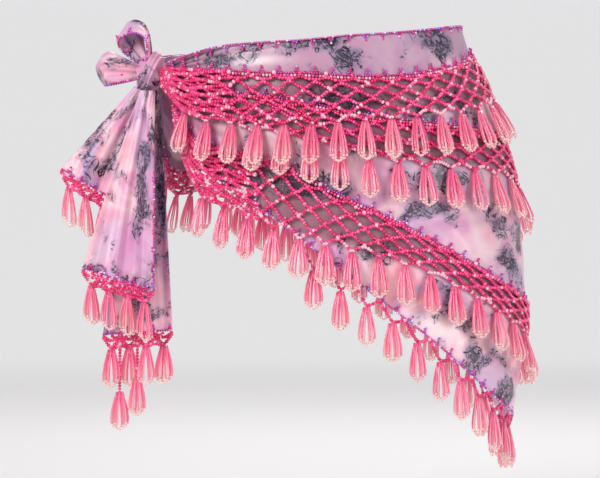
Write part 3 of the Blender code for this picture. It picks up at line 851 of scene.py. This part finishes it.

# %% [markdown]
# The tails hang from the knot in lengthwise folds, which are tight at the top and open towards the
# foot. A tail is a ruled surface from a short root to its slanting foot, with a wave across it.
# The wave mixes one broad fold with smaller, uneven ones. "low" gives the strings of the pendants
# that hang under a tail's others, and "dark" how much darker its side beside the wrap is: partly
# smokier print, partly painted shade.

# %% Tails
TAILS = table(
    "name node root left_foot right_foot folds fold_depth fold_turn pendants shift low dark",
    (
        "left_tail", "tail_left", (-156, -34, -38), (-231, -44, -116), (-185, -36, -143),
        1.5, 4.0, 0.2, 3, 720, {}, 0.0,
    ),
    (
        "front_tail", "tail_front", (-151, -40, -39), (-210, -60, -207), (-145, -56, -227),
        2.0, 5.0, 0.0, 4, 860, {}, 0.1,
    ),
    (
        "back_tail", "tail_back", (-147, -28, -39), (-193, -34, -268), (-129, -40, -264),
        2.0, 4.0, 0.5, 4, 1010, {1: 52, 2: 40}, 0.7,
    ),
)
TAIL_ROWS, TAIL_COLUMNS = 110, 72
TAIL_START = 0.03
TAIL_ROOT_HALF_WIDTH = 6.0
SMALL_FOLD_DEPTH, SMALL_FOLDS, SMALL_FOLD_TURN = 0.9, 2.6, 0.3
SMALL_FOLD_SWAY, SMALL_FOLD_SWAY_RATE = 2.2, 3.0
FOLD_OPENING = 0.7
TAIL_PRINT_SPREAD = 1.15
TAIL_CLOUD, TAIL_ROSE, FOOT_ROSE = 0.30, 0.2, 0.6


def tail_point(tail, across, down):
    """A point of a tail: straight from root to foot, waved in depth."""
    root, left, right = (np.array(p, float) for p in (tail.root, tail.left_foot, tail.right_foot))
    head = root + RIGHT * ((across - 0.5) * 2 * TAIL_ROOT_HALF_WIDTH)[..., None]
    foot = left + (right - left) * across[..., None]
    fold = tail.fold_depth * np.sin(2 * math.pi * (tail.folds * across + tail.fold_turn))
    small_turn = 2 * math.pi * (tail.folds * SMALL_FOLDS * across + SMALL_FOLD_TURN)
    sway = SMALL_FOLD_SWAY * np.sin(down * SMALL_FOLD_SWAY_RATE)
    fold = fold + SMALL_FOLD_DEPTH * np.sin(small_turn + sway)
    return head + (foot - head) * down[..., None] + BACK * (fold * down ** FOLD_OPENING)[..., None]


for tail in TAILS:
    down, across = np.meshgrid(
        np.linspace(TAIL_START, 1, TAIL_ROWS), np.linspace(0, 1, TAIL_COLUMNS), indexing="ij"
    )
    tail_grid = tail_point(tail, across, down)
    foot_width = np.linalg.norm(np.subtract(tail.right_foot, tail.left_foot))
    tail_length = run_along(tail_grid[:, TAIL_COLUMNS // 2])[-1]
    print_across = across * foot_width * TAIL_PRINT_SPREAD + tail.shift
    tail_uv = np.stack([print_across, down * tail_length], axis=-1)
    # Darker beside the wrap and towards the top: partly smokier print, partly painted shade.
    tail_cloud = TAIL_CLOUD + tail.dark * ease((across - 0.5) / 0.5) * (1 - down) ** 1.6
    tail_rose = TAIL_ROSE + FOOT_ROSE * ease(across) * down
    tail_cloth = make_cloth(tail.name, tail_grid, tail_uv, printed, cloud=tail_cloud, rosy=tail_rose)
    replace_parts(tail_cloth, tail.node)
    tail_area = grid_area(tail_grid)
    print(tail.name, "length", round(tail_length), "foot", round(foot_width), "area", tail_area)

# %% [markdown]
# A bead is a little barrel. One is made once, as points round an axis, and then stamped wherever a
# thread runs: each copy gets its own frame from the thread's direction. Copying arrays of points
# is quick, and it gives one joined mesh instead of thousands of objects.

# %% Stringing beads
BEAD_RADIUS = 1.2
BEAD_PITCH = 2.3
BEAD_SIDES = 6
RING_REACH, RING_HEIGHT, POLE_HEIGHT = 0.94, 0.42, 0.92


def barrel(sides):
    """A bead about the Z axis, 1 in radius: two rings and two poles."""
    angle = np.arange(sides) * 2 * math.pi / sides
    ring = np.stack([np.cos(angle), np.sin(angle), 0 * angle], axis=1) * RING_REACH
    rings = [ring + UP * RING_HEIGHT, ring - UP * RING_HEIGHT]
    points = np.concatenate([*rings, [UP * POLE_HEIGHT, -UP * POLE_HEIGHT]])
    here, there = np.arange(sides), (np.arange(sides) + 1) % sides
    sides_quads = np.stack([here, here + sides, there + sides, there], axis=1)
    top = np.stack([here, there, np.full(sides, 2 * sides)], axis=1)
    foot = np.stack([there + sides, here + sides, np.full(sides, 2 * sides + 1)], axis=1)
    return points, sides_quads, np.concatenate([top, foot])


def bead_mesh(centres, along, radius, tone, stretch=1.0, sides=BEAD_SIDES):
    """Points, faces and tones of many beads: each template point turned by its bead's frame."""
    shape, quads, triangles = barrel(sides)
    along = unit(along)
    helper = np.where(np.abs(along[:, 2:3]) < 0.9, UP, RIGHT)
    first = unit(np.cross(helper, along))
    second = np.cross(along, first)
    radius = np.broadcast_to(radius, len(centres))[:, None, None]
    stretch = np.broadcast_to(stretch, len(centres))[:, None, None]
    points = centres[:, None] + radius * (
        first[:, None] * shape[None, :, :1]
        + second[:, None] * shape[None, :, 1:2]
        + along[:, None] * shape[None, :, 2:] * stretch
    )
    start = np.arange(len(centres))[:, None, None] * len(shape)
    faces = [(quads + start).reshape(-1, 4), (triangles + start).reshape(-1, 3)]
    return points.reshape(-1, 3), faces, np.repeat(tone, len(shape))


def join(parts):
    """Several (points, [quads, triangles], tones) as one."""
    start = np.cumsum([0] + [len(p[0]) for p in parts[:-1]])
    points = np.concatenate([p[0] for p in parts])
    quads = np.concatenate([p[1][0] + s for p, s in zip(parts, start)])
    triangles = np.concatenate([p[1][1] + s for p, s in zip(parts, start)])
    return points, [quads, triangles], np.concatenate([p[2] for p in parts])


def even_points(curve, pitch):
    """Points at an even pitch along a curve, with the curve's direction there."""
    run = run_along(curve)
    places = np.arange(pitch / 2, run[-1], pitch)
    behind, points, ahead = (
        np.stack([np.interp(places + step, run, axis) for axis in curve.T], axis=1)
        for step in (-0.5, 0.0, 0.5)
    )
    return points, unit(ahead - behind)


def make_beads(name, parts, glass, slot="net_beads"):
    """One joined piece from several lots of beads."""
    points, faces, tone = join(parts)
    return make_piece(name, points, faces, glass, slot, tone=tone)


print("one bead has", sum(len(faces) for faces in barrel(BEAD_SIDES)[1:]), "faces")

# %% [markdown]
# Every edge and seam carries a row of beads, and on it, every six beads or so, a picot: four
# beads that stand up like a tiny crown. Most are magenta, with some violet and blue ones that
# catch the light. On the waist edge the picots hang down instead.

# %% Edgings
PICOT_SPACING = 15.0
PICOT = np.array([[-1.4, 2.0], [1.4, 2.0], [0.0, 3.9], [0.0, 5.7]])
PICOT_OUT, PICOT_SIZE = 0.5, 1.05
EDGE_LIFT = 2.1
EDGE_STEPS = 1500
PINK_TONES, COOL_TONES = (0.0, 0.42), (0.52, 1.0)
EDGINGS = table(
    "name line start end lift picot_up violet",
    ("edging_waist", "waist", 0.020, 0.980, 1.5, -1.0, 0.35),
    ("edging_1", "seam_1", 0.022, 0.978, EDGE_LIFT, 1.0, 0.15),
    ("edging_2", "seam_2", 0.100, 0.900, EDGE_LIFT, 1.0, 0.35),
    ("edging_3", "seam_3", 0.034, 0.966, EDGE_LIFT, 1.0, 0.50),
    ("edging_hem", "hem", 0.030, 0.970, 1.7, 1.0, 0.60),
)


def edge_tones(number, violet):
    """Random tones: a share of them violet or blue, the rest magenta with a few pale."""
    pink = chance.uniform(*PINK_TONES, number)
    cool = chance.uniform(*COOL_TONES, number)
    return np.where(chance.random(number) < violet, cool, pink)


def edge_row(curve, out, up, violet, picot_up):
    """A row of beads along a curve with picots on it. out and up are directions at its points."""
    points, along = even_points(curve, BEAD_PITCH)
    row = bead_mesh(points, along, BEAD_RADIUS, edge_tones(len(points), violet))
    every = max(1, round(PICOT_SPACING / BEAD_PITCH))
    at = points[every // 2 :: every]
    direction = along[every // 2 :: every]
    upward = unit(np.cross(np.cross(direction, up), direction)) * picot_up
    tips = at[:, None] + direction[:, None] * PICOT[None, :, :1] + upward[:, None] * PICOT[None, :, 1:]
    tips = (tips + out * PICOT_OUT).reshape(-1, 3)
    ways = np.repeat(upward, len(PICOT), axis=0)
    crown = bead_mesh(tips, ways, BEAD_RADIUS * PICOT_SIZE, edge_tones(len(tips), violet))
    return join([row, crown])


for edging in EDGINGS:
    share = np.linspace(edging.start, edging.end, EDGE_STEPS)
    curve = hips(share, line_height(edging.line, share), edging.lift)
    row = edge_row(curve, 0.0, UP, edging.violet, edging.picot_up)
    make_beads(edging.name, [row], edge_glass)

# %% [markdown]
# The nets are worked in staggered rows of meshes. Two threads meet at each crossing, run on
# together for a bead and part again, so a mesh is shaped like an eye. Between crossings a thread
# follows a soft S: its height changes by a soft step while it moves evenly sideways. Just under
# the seam the threads first drop straight down. Beside the knot a net is drawn together, so there
# more threads fan out from the knot over its first meshes.

# %% Threads of a net
NETS = table(
    "name seam foot start columns rows foot_lift pendant_lift",
    ("1", "seam_1", "foot_1", 0.022, 34, 6, 6.2, 11.5),
    ("2", "seam_2", "foot_2", 0.100, 28, 6, 3.2, 10.0),
    ("3", "seam_3", "foot_3", 0.034, 36, 6, 3.2, 10.0),
)
SEAM_LIFT = 2.6
STRAND_HALF_DEPTH = 1.0
NET_SLACK = 0.45
NET_BEAD_RADIUS, NET_BEAD_PITCH = 1.85, 2.8
PEARL_RADIUS = 2.4
CROSSING_HALF = 1.45
SEAM_PEARL_DROP = 2.6
SEAM_PEARL_RADIUS, SEAM_PEARL_PITCH = 1.6, 3.2
THREAD_STEPS = 17
SEAM_PLUMB, CROSSING_PLUMB = 0.15, 0.08
SHORTEST_BEAD, LONGEST_BEAD = 0.7, 1.35
PEARL_SHARE, SEAM_PEARL_SHARE = 0.3, 0.45
PEARLY, DRAWN_PEARLY, LOW_PEARLY = 0.05, 0.1, 0.45
NET_TONES, SEAM_BEAD_TONES = (0.0, 0.76), (0.3, 0.8)
CROSSING_TONE, SEAM_PEARL_TONE, PALE_TONE, PEARL_TONE = 0.5, 0.88, 0.9, 0.95
NET_BEAD_SIZES, CROSSING_SIZE = (0.9, 1.1), 1.1
SEAM_STEPS, DRAWN_STEPS = 900, 40
DRAWN_TOP, DRAWN_FOOT = 0.03, 0.93
DRAWN, DRAWN_TUCK, DRAWN_REACH, DRAWN_SLANT = 7, 0.004, 0.090, 0.22
DRAWN_NETS = ("1", "3")


def net_share(net, k):
    """The share of half column k of a net."""
    return net.start + (1 - 2 * net.start) * k / (2 * net.columns)


def net_point(net, k, row, slack):
    """A point of a net at a half column and half row, with some slack in millimetres."""
    share = net_share(net, k) + slack[..., 0] / HIP_GIRTH
    seam, foot = line_height(net.seam, share), line_height(net.foot, share)
    height = seam + (foot - seam) * row / net.rows + slack[..., 1]
    lift = SEAM_LIFT + (net.foot_lift - SEAM_LIFT) * ease(row / 3.0) + STRAND_HALF_DEPTH
    return hips(share, height, lift)


def net_strands(net, front):
    """The threads of one side of a net: curves between crossings, row by row, and the crossings."""
    slack = chance.normal(0.0, NET_SLACK, (net.rows + 1, 2 * net.columns + 1, 2))
    slack[0] = 0.0
    strands, crossings = [], []
    t = np.linspace(0.0, 1.0, THREAD_STEPS)[None, :]
    last = 2 * net.columns - 1
    for row in range(net.rows):
        k = np.arange(2 * net.columns + 1)
        k = k[(k + net.rows - row) % 2 == 0]
        k = k[(k <= net.columns) if front else (k > net.columns)]
        crossings.append(net_point(net, k, np.full(k.shape, float(row)), slack[row, k]))
        for side in (-1, 1):
            here = k[(np.minimum(k, k + side) >= 1) & (np.maximum(k, k + side) <= last)]
            if row == 0:
                sideways, fall = ease((t - SEAM_PLUMB) / (1 - SEAM_PLUMB)), 1 - (1 - t) ** 2.2
            elif row == net.rows - 1:
                sideways, fall = t, t ** 1.6
            else:
                sideways, fall = t, ease((t - CROSSING_PLUMB) / (1 - 2 * CROSSING_PLUMB))
            above = CROSSING_HALF * (row < net.rows - 1)
            below = CROSSING_HALF * (row > 0)
            start, end = slack[row, here], slack[row + 1, here + side]
            drift = start[:, None] * (1 - t)[..., None] + end[:, None] * t[..., None]
            drift[..., 1] += above * t - below * (1 - t)
            strands.append(net_point(net, here[:, None] + side * sideways, row + fall, drift))
    return strands, np.concatenate(crossings)


print("meshes in a row:", [net.columns for net in NETS])

# %% Beads along the threads of a net
def string_net(strands, crossings, pearly):
    """Beads along threads of one point count. Some are pearls, and so are some at the crossings."""
    parts = []
    for curves in strands:
        run = run_along(curves)
        number = max(2, round(run[:, -1].mean() / NET_BEAD_PITCH))
        edges = np.linspace(0.0, 1.0, number + 1)
        place = run / run[:, -1:]
        knots = np.array(
            [[np.interp(edges, at, axis) for axis in curve.T] for at, curve in zip(place, curves)]
        ).transpose(0, 2, 1)
        centres = (knots[:, 1:] + knots[:, :-1]).reshape(-1, 3) / 2
        ways = (knots[:, 1:] - knots[:, :-1]).reshape(-1, 3)
        stretch = np.linalg.norm(ways, axis=1) / NET_BEAD_PITCH
        stretch = np.clip(stretch, SHORTEST_BEAD, LONGEST_BEAD)
        tone = chance.uniform(*NET_TONES, len(centres))
        pale = chance.random(len(centres)) < pearly
        radius = NET_BEAD_RADIUS * chance.uniform(*NET_BEAD_SIZES, len(centres))
        parts.append(bead_mesh(centres, ways, radius, np.where(pale, PALE_TONE, tone), stretch))
    pearl = chance.random(len(crossings)) < PEARL_SHARE
    radius = np.where(pearl, PEARL_RADIUS, NET_BEAD_RADIUS * CROSSING_SIZE)
    tone = np.where(pearl, PEARL_TONE, CROSSING_TONE)
    sideways = np.tile(RIGHT, (len(crossings), 1))
    parts.append(bead_mesh(crossings, sideways, radius, tone))
    return join(parts)


def seam_pearls(net, front):
    """The row of larger, paler beads just under a net's seam."""
    first, last = (net.start, 0.5) if front else (0.5, 1 - net.start)
    share = np.linspace(first, last, SEAM_STEPS)
    curve = hips(share, line_height(net.seam, share) - SEAM_PEARL_DROP, SEAM_LIFT)
    points, along = even_points(curve, SEAM_PEARL_PITCH)
    pearl = chance.random(len(points)) < SEAM_PEARL_SHARE
    tone = np.where(pearl, SEAM_PEARL_TONE, chance.uniform(*SEAM_BEAD_TONES, len(points)))
    return bead_mesh(points, along, SEAM_PEARL_RADIUS, tone)


def drawn_together(net, front):
    """Threads that fan out from the knot over the first meshes of a net."""
    near, far = net.start - DRAWN_TUCK, net.start + DRAWN_REACH
    run, level = np.meshgrid(np.linspace(0, 1, DRAWN_STEPS), (np.arange(DRAWN) + 0.5) / DRAWN)
    share = near + (far - near) * run
    share = share if front else 1 - share
    seam, foot = line_height(net.seam, share), line_height(net.foot, share)
    families = []
    for slant in (-DRAWN_SLANT, DRAWN_SLANT):
        depth = np.clip(level + slant * run, DRAWN_TOP, DRAWN_FOOT)
        lift = SEAM_LIFT + (net.foot_lift - SEAM_LIFT) * ease(depth * 2.0) + 2 * STRAND_HALF_DEPTH
        families.append(hips(share, seam + (foot - seam) * depth, lift))
    return string_net(families, families[0][:, -1], DRAWN_PEARLY)


print("threads drawn together beside the knot:", 2 * DRAWN, "on a side of nets", DRAWN_NETS)

# %% Both sides of the three nets
for net in NETS:
    for side in ("front", "back"):
        strands, crossings = net_strands(net, side == "front")
        body = [string_net(strands[:-2], crossings, PEARLY)]
        if net.name in DRAWN_NETS:
            body.append(drawn_together(net, side == "front"))
        body.append(seam_pearls(net, side == "front"))
        net_piece = make_beads(f"bead_net_{net.name}_{side}", body, net_glass)
        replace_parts(net_piece, f"net_{net.name}_{side}")
        lowest = string_net(strands[-2:], crossings[-1:], LOW_PEARLY)
        make_beads(f"zigzag_{net.name}_{side}", [lowest], net_glass)

# %% [markdown]
# A pendant is a bunch of six long loops that hang from one point like the petals of a tulip. Each
# loop has two bugles that part on their way down, and pale beads that join them round its foot.
# It is built once about the Z axis and then stamped along every zigzag. One loop faces outwards,
# the next ones stand to its sides, and each bunch is turned a little by chance and pressed flat.

# %% One pendant
PENDANT_LENGTH = 36.0
BELLY_SHARE, TIP_SHARE = 0.78, 0.99
PETALS = 6
BUGLE_RADIUS = 1.05
BUGLE_SIDES, BUGLE_STEPS = 5, 7
PETAL_REACH, PETAL_HALF_WIDTH = 7.6, 2.7
SIDE_PETAL_END, FRONT_PETAL_END = 0.83, 0.89
BOW_PLACES, BOW_REACHES = (0.0, 0.20, 0.45, 0.77, 0.90), (0.30, 0.52, 0.80, 1.00, 0.82)
FOOT_BEADS, FOOT_BEAD_RADIUS, FOOT_BEAD_SIDES = 5, 1.45, 4
FOOT_DROP, FOOT_TUCK = 3.2, 2.4
HEAD_PLACES, HEAD_RADII = (0.8, -1.2, -3.0), (1.1, 1.3, 1.5)
BUGLE_START = 0.04
TOP_TONE, PAINTED_HIGHLIGHT_TONE, TONE_RISE, FOOT_TONE = 0.12, 0.25, 0.40, 0.95
PENDANT_FLATNESS = 0.58
PENDANT_SPIN = 0.12


def tube(path, sides, radius):
    """A closed tube along a path: a ring of points at each step and a cap at each end."""
    along = unit(np.gradient(path, axis=0))
    first = unit(np.cross(along, [[0.31, 0.95, 0.05]]))
    second = np.cross(along, first)
    angle = (np.arange(sides) * 2 * math.pi / sides)[:, None]
    ring = first[:, None] * np.cos(angle) + second[:, None] * np.sin(angle)
    points = np.concatenate([(path[:, None] + ring * radius).reshape(-1, 3), path[:1], path[-1:]])
    corner = np.arange(len(path) * sides).reshape(len(path), sides)
    onward = np.roll(corner, -1, axis=1)
    quads = np.stack([corner[:-1], onward[:-1], onward[1:], corner[1:]], axis=-1).reshape(-1, 4)
    near, far = len(points) - 2, len(points) - 1
    start = np.stack([onward[0], corner[0], np.full(sides, near)], axis=1)
    end = np.stack([corner[-1], onward[-1], np.full(sides, far)], axis=1)
    return points, [quads, np.concatenate([start, end])]


def petal(angle, reach, end_share):
    """One loop: two bugles that bow out and in again, and the beads that join them below."""
    out = np.array([math.cos(angle), math.sin(angle), 0.0])
    across = np.array([-math.sin(angle), math.cos(angle), 0.0])
    s = np.linspace(BUGLE_START, end_share, BUGLE_STEPS)
    bow = np.interp(s, BOW_PLACES, BOW_REACHES)
    middle = out * (reach * bow)[:, None] - UP * (s * PENDANT_LENGTH)[:, None]
    opening = PETAL_HALF_WIDTH * np.sin(math.pi / 2 * (s / end_share) ** 0.9)
    parts = []
    # The second bugle of each loop is paler: a painted highlight along it.
    for side, highlight_tone in ((-1, 0.0), (1, PAINTED_HIGHLIGHT_TONE)):
        path = middle + across * (side * opening)[:, None]
        points, faces = tube(path, BUGLE_SIDES, BUGLE_RADIUS)
        tone = TOP_TONE + highlight_tone + TONE_RISE * ease(-points[:, 2] / PENDANT_LENGTH)
        parts.append((points, faces, tone))
    beta = np.linspace(0.0, math.pi, FOOT_BEADS)
    foot = middle[-1] + across * (PETAL_HALF_WIDTH * np.cos(beta))[:, None]
    foot = foot - (UP * FOOT_DROP + out * FOOT_TUCK) * np.sin(beta)[:, None]
    tone = np.full(FOOT_BEADS, FOOT_TONE)
    ways = np.gradient(foot, axis=0)
    parts.append(bead_mesh(foot, ways, FOOT_BEAD_RADIUS, tone, sides=FOOT_BEAD_SIDES))
    return join(parts)


def whole_pendant():
    """A ring of petals, and the three beads that close the bunch at its top."""
    petals = []
    for i in range(PETALS):
        angle = math.pi * (0.5 + 2 * i / PETALS)
        end_share = FRONT_PETAL_END if i % (PETALS // 2) == 0 else SIDE_PETAL_END
        petals.append(petal(angle, PETAL_REACH, end_share))
    heads = UP * np.array(HEAD_PLACES)[:, None]
    head = bead_mesh(heads, np.tile(UP, (3, 1)), np.array(HEAD_RADII), np.zeros(3))
    return join([*petals, head])


pendant_points, pendant_faces, pendant_tones = whole_pendant()
print("one pendant:", len(pendant_points), "points", sum(len(f) for f in pendant_faces), "faces")

# %% [markdown]
# A pendant hangs plumb from the low point of a zigzag, but where the hips swell under it, it lies
# on them and leans out. So each one gets three places: where it hangs, its belly and its tip. The
# template's middle line is bent through them, and no two have quite the same turn, size and tone.

# %% Hanging the pendants
Hangers = namedtuple("Hangers", "foot belly tip along out")
SMALLEST_PENDANT, LARGEST_PENDANT, TONE_SPREAD = 0.92, 1.06, 0.1


def hang_pendants(name, node, hangers):
    """Stamps the pendant at each hanger. Its middle line bends at the belly, and it is turned."""
    number = len(hangers.foot)
    spin = chance.normal(0, PENDANT_SPIN, number)[:, None]
    size = chance.uniform(SMALLEST_PENDANT, LARGEST_PENDANT, number)[:, None]
    across, deep, up = pendant_points.T[:, None]
    x = (across * np.cos(spin) - deep * np.sin(spin)) * size
    y = (across * np.sin(spin) + deep * np.cos(spin)) * size
    s = -up / PENDANT_LENGTH
    upper = np.clip(s / BELLY_SHARE, -0.1, 1.0)[..., None]
    lower = np.clip((s - BELLY_SHARE) / (TIP_SHARE - BELLY_SHARE), 0.0, 1.2)[..., None]
    middle = (
        hangers.foot[:, None]
        + (hangers.belly - hangers.foot)[:, None] * upper
        + (hangers.tip - hangers.belly)[:, None] * lower
    )
    points = (
        middle
        + hangers.along[:, None] * x[..., None]
        + hangers.out[:, None] * (y * PENDANT_FLATNESS)[..., None]
    )
    start = np.arange(number)[:, None, None] * len(pendant_points)
    faces = [(block[None] + start).reshape(-1, block.shape[1]) for block in pendant_faces]
    shift = chance.uniform(-TONE_SPREAD, TONE_SPREAD, number)[:, None]
    tone = np.clip(pendant_tones[None] + shift, 0, 1)
    bunch = (points.reshape(-1, 3), faces, tone.ravel())
    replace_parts(make_beads(name, [bunch], pendant_glass, "pendant_beads"), node)


def hip_hangers(share, height, lift, pendant_lift):
    """Hangers on the hips: plumb, and pushed out where the hips swell under the pendant."""
    foot = hips(share, height, lift)
    along, out = hip_directions(share, height, lift)
    centres = []
    for part in (BELLY_SHARE, TIP_SHARE):
        fall = PENDANT_LENGTH * part
        resting = hips(share, height - fall, pendant_lift)
        reach = np.maximum(pendant_lift - lift, ((resting - foot) * out).sum(axis=1))
        centres.append(foot - UP * fall + out * reach[:, None])
    return Hangers(foot, *centres, along, out)


CROWDED_DROP, CROWDED_BLEND, CROWDED_LIFT = 42.0, 10.0, 4.0
for net in NETS:
    share = net_share(net, np.arange(2, 2 * net.columns - 1, 2))
    foot = line_height(net.foot, share)
    lift = np.full(len(share), net.pendant_lift)
    if net.name == "1":
        room = foot - line_height("foot_2", share)
        lift = lift + CROWDED_LIFT * np.clip((CROWDED_DROP - room) / CROWDED_BLEND, 0, 1)
    hangers = hip_hangers(share, foot, net.foot_lift + STRAND_HALF_DEPTH, lift)
    hang_pendants(f"pendants_{net.name}", f"fringe_{net.name}", hangers)

# %% [markdown]
# The slanting hem has one row of zigzag loops and a pendant at each low point. It is the same
# thread and the same bunch again, half a column out of step with the net above.

# %% Hem zigzag and pendants
HEM_FRINGE_START = 0.14
HEM_FRINGE_DEPTH, HEM_FRINGE_EXTRA = 11.5, 7.0
HEM_EXTRA_START, HEM_EXTRA_FULL = 0.25, 0.20
HEM_PENDANT_LIFT = 3.0
ZIGZAG_STEPS = 13


def zigzag_curves(tops, feet):
    """Threads from each top down to the feet beside it, sagging like the nets' threads."""
    t = np.linspace(0.0, 1.0, ZIGZAG_STEPS)[None, :, None]
    sag = UP * np.sin(math.pi * t)
    return [ends[:, None] * (1 - t) + feet[:, None] * t - sag for ends in (tops[:-1], tops[1:])]


third = NETS[2]
columns = np.arange(2 * third.columns)
shares = net_share(third, columns)
inside = (shares > HEM_FRINGE_START) & (shares < 1 - HEM_FRINGE_START)
top_shares = shares[inside & (columns % 2 == 0)]
low_shares = shares[inside & (columns % 2 == 1)]
low_shares = low_shares[low_shares > top_shares[0]][: len(top_shares) - 1]
hem_tops = hips(top_shares, line_height("hem", top_shares) - 1.0, CLOTH_LIFT)
near = np.minimum(low_shares, 1 - low_shares)
extra = np.interp(near, [HEM_EXTRA_FULL, HEM_EXTRA_START], [HEM_FRINGE_EXTRA, 0.0])
hem_low = line_height("hem", low_shares) - HEM_FRINGE_DEPTH - extra
hangers = hip_hangers(low_shares, hem_low, CLOTH_LIFT, np.full(len(low_shares), HEM_PENDANT_LIFT))
hem_zigzag = string_net(zigzag_curves(hem_tops, hangers.foot), hem_tops, PEARLY)
make_beads("zigzag_hem", [hem_zigzag], net_glass)
hang_pendants("pendants_hem", "fringe_hem", hangers)

# %% [markdown]
# The tails and the bow have the same beaded edges. Each tail's foot has a row with picots on both
# faces, a close band of crossed zigzags under it and its pendants. The front tail is beaded up one
# side too, and under the back tail two pendants hang lower on strings.

# %% Beads on the tails and the bow
TAIL_FRINGE_DEPTH = 12.5
LOW_PENDANT_FORWARD = 3.5
TAIL_VIOLET, SIDE_VIOLET = 0.45, 0.25
SIDE_BEADS_START = 0.42
FOOT_STEPS, SIDE_STEPS = 300, 200
FRONT_ROW_OUT, BACK_ROW_OUT, BACK_ROW_RISE, SIDE_ROW_OUT = 1.2, 1.0, 0.2, 0.9

for tail in TAILS:
    edge = tail_point(tail, np.linspace(0.0, 1.0, FOOT_STEPS), np.ones(FOOT_STEPS))
    parts = [edge_row(edge - BACK * FRONT_ROW_OUT, -BACK, UP, TAIL_VIOLET, 1.0)]
    back_edge = edge + UP * BACK_ROW_RISE + BACK * BACK_ROW_OUT
    parts.append(edge_row(back_edge, BACK, UP, TAIL_VIOLET, 1.0))
    if tail.name == "front_tail":
        down = np.linspace(SIDE_BEADS_START, 1.0, SIDE_STEPS)
        side = tail_point(tail, np.ones(SIDE_STEPS), down)
        parts.append(edge_row(side - BACK * SIDE_ROW_OUT, -BACK * 0.6, -RIGHT, SIDE_VIOLET, 1.0))
    make_beads(f"edging_{tail.name}", parts, edge_glass)
    place = np.linspace(0.0, 1.0, 2 * tail.pendants + 1)
    corners = tail_point(tail, place, np.ones(len(place)))
    tops, middles, inner = corners[::2], corners[1::2], corners[2:-1:2]
    lows = middles - UP * TAIL_FRINGE_DEPTH
    halfway = UP * TAIL_FRINGE_DEPTH / 2
    threads = [
        (tops - UP * 1.0, middles - halfway),
        (middles - UP * 1.0, inner - halfway),
        (tops - UP * 2.5, lows),
        (lows, inner - halfway),
        (lows, inner - UP * (TAIL_FRINGE_DEPTH - 1.5)),
    ]
    curves = [curve for ends in threads for curve in zigzag_curves(*ends)]
    width = unit(np.subtract(tail.right_foot, tail.left_foot).astype(float))
    out = -unit(np.cross(UP, width))
    for index, thread in tail.low.items():
        neck = tops[index] - UP * thread + out * LOW_PENDANT_FORWARD
        curves.append(np.linspace(tops[index], neck, ZIGZAG_STEPS)[None])
        lows = np.concatenate([lows, neck[None]])
    make_beads(f"zigzag_{tail.name}", [string_net(curves, inner, PEARLY)], net_glass)
    belly, tip = (lows - UP * PENDANT_LENGTH * part for part in (BELLY_SHARE, TIP_SHARE))
    along, outward = (np.tile(way, (len(lows), 1)) for way in (width, out))
    hangers = Hangers(lows, belly, tip, along, outward)
    hang_pendants(f"pendants_{tail.name}", f"fringe_{tail.node}", hangers)

loop_rows = [edge_row(edge, 0.0, UP, TAIL_VIOLET, 1.0) for edge in loop_edges]
make_beads("edging_bow", loop_rows, edge_glass)

# %% [markdown]
# The beads may stand a little outside the packed model's box.
